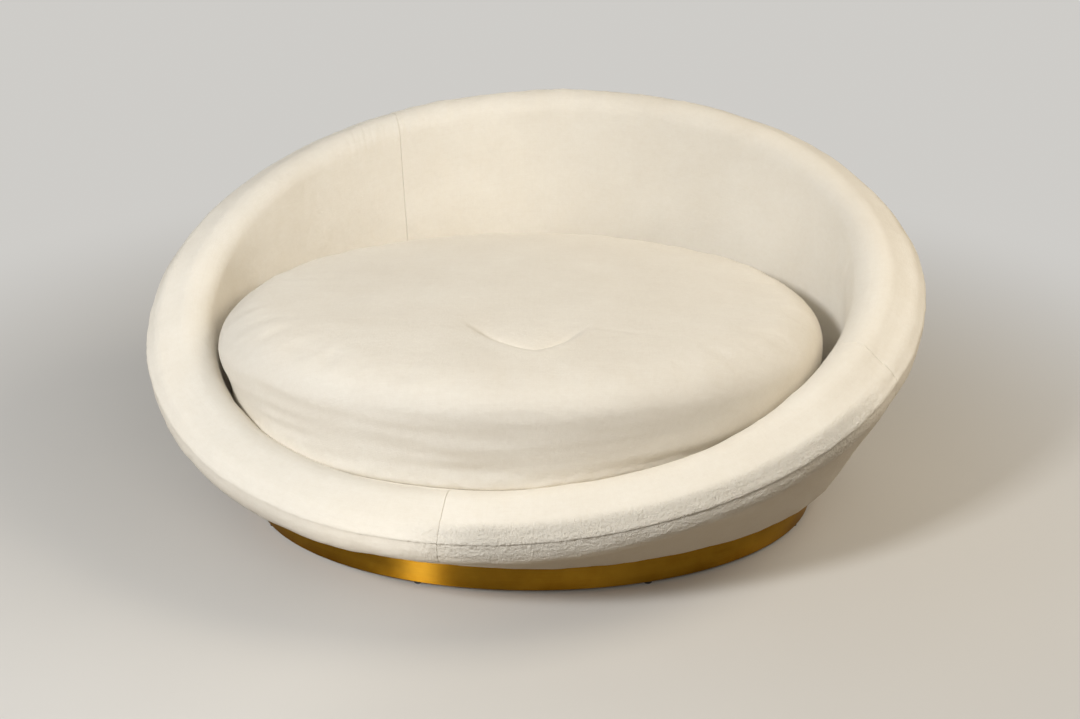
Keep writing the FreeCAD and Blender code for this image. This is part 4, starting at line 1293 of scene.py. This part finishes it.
def pull_mesh():
    """A flat tongue with a round end, hung from the slider's nose."""
    half = PULL_WIDE / 2
    outline = [(0.0, -half), (PULL_LENGTH - half, -half)]
    outline += [(PULL_LENGTH - half + half * math.sin(a), -half * math.cos(a))
                for a in np.linspace(math.pi / 12, math.pi * 11 / 12, 9)]
    outline += [(PULL_LENGTH - half, half), (0.0, half)]
    first_x = SLIDER_HIGH.x - PULL_LAP
    middle_y = (SLIDER_LOW.y + SLIDER_HIGH.y) / 2
    low = SLIDER_LOW.z - PULL_THICK - PULL_GAP
    bm = bmesh.new()
    ring = [bm.verts.new((first_x + x, middle_y + y, low)) for x, y in outline]
    raise_faces(bm, [bm.faces.new(ring)], PULL_THICK)
    bmesh.ops.bevel(bm, geom=list(bm.edges), offset=PULL_BEVEL, segments=2, affect="EDGES",
                    clamp_overlap=True)
    bmesh.ops.recalc_face_normals(bm, faces=bm.faces)
    mesh = bpy.data.meshes.new("zip_pull_tongue")
    bm.to_mesh(mesh)
    bm.free()
    mesh.materials.append(STEEL)
    return mesh


pull = bpy.data.objects.new("zip_pull_tongue", pull_mesh())
scene.collection.objects.link(pull)
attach(pull, "zip_pull")
print("zip pull", len(pull.data.polygons), "faces")

# %% [markdown]
# ## Frame, webbing and filling
# What the cloth hides keeps its CAD form, which is exact, and gets its own material: birch plywood with
# its plies along the edges, woven webbing, zinc-plated fasteners and nylon glides. Each material is named
# by the slot that the record gives to a node.

# %% Materials of the CAD nodes
PLY_PITCH = 0.0030
RIB_PITCH, YARN_PITCH = 0.0026, 0.0018


def plywood_material():
    """Birch with its grain along X, and plies on the faces that stand upright."""
    material, graph, surface = shader("birch_plywood")
    x, y, z = graph.parts(graph.object_place())
    grain = graph.noise(graph.vector(x * 6.0, y * 110.0, z * 40.0), 1.0, 5.0, 0.6)
    figure = graph.noise(graph.vector(x * 1.6, y * 16.0, z * 8.0), 1.0, 3.0)
    up = graph.parts(graph.add("ShaderNodeNewGeometry", output="Normal"))[2]
    plies = (z * (TURN / PLY_PITCH)).sin() * (1.0 - abs(up)) * 0.5
    tone = (0.5 + (grain - 0.5) * 0.8 + (figure - 0.5) * 0.9 + plies * 0.5).between(0.0, 1.0)
    finish_surface(graph, surface, Base_Color=graph.mix(tone, linear(176, 138, 92), linear(216, 186, 142)),
                   Roughness=0.62 + (grain - 0.5) * 0.25,
                   Normal=graph.bump((grain - 0.5) * 0.00025 + plies * 0.0001))
    return material


def strap_material(name, dark, light, along):
    """Woven webbing, ribbed across the run of the strap."""
    material, graph, surface = shader(name)
    x, y = graph.parts(graph.object_place())[:2]
    run, across = (x, y) if along == "x" else (y, x)
    rib = (run * (TURN / RIB_PITCH)).sin() * (across * (TURN / YARN_PITCH)).sin()
    stripe = graph.noise(graph.vector(across * 160.0, run * 2.0, 0.0), 1.0, 2.0)
    tone = (0.5 + rib * 0.25 + (stripe - 0.5) * 0.9).between(0.0, 1.0)
    finish_surface(graph, surface, Base_Color=graph.mix(tone, dark, light), Roughness=0.8 + rib * 0.08,
                   Normal=graph.bump(rib * 0.00025))
    return material


PLYWOOD = plywood_material()
STRAPS_X = strap_material("jute_webbing_long", linear(120, 92, 58), linear(176, 146, 102), "x")
STRAPS_Y = strap_material("jute_webbing_cross", linear(120, 92, 58), linear(176, 146, 102), "y")
TAPE = strap_material("zip_tape_cloth", linear(212, 202, 180), linear(232, 224, 206), "x")
SLOT_MATERIALS = {"plywood": PLYWOOD, "steel": STEEL, "nylon": NYLON, "brass": BRASS, "ivory_cloth": IVORY,
                  "deck_cloth": DECK_CLOTH, "webbing": STRAPS_X, "zip_tape": TAPE, "foam": DECK_CLOTH,
                  "fibre": DECK_CLOTH}
slot_of = {entry["node"]: entry["material_slot"] for entry in frame["record"]["subparts"]}
for name, node in nodes.items():
    node.data.materials.clear()
    node.data.materials.append(STRAPS_Y if name == "webbing_cross" else SLOT_MATERIALS[slot_of[name]])
print("materials on", len(nodes), "CAD nodes")

# %% Close
sizes = {"cad": [list(corner) for corner in cad_box], "visual": [list(corner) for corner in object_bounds()]}
print("CAD box", sizes["cad"], "visual box", sizes["visual"])
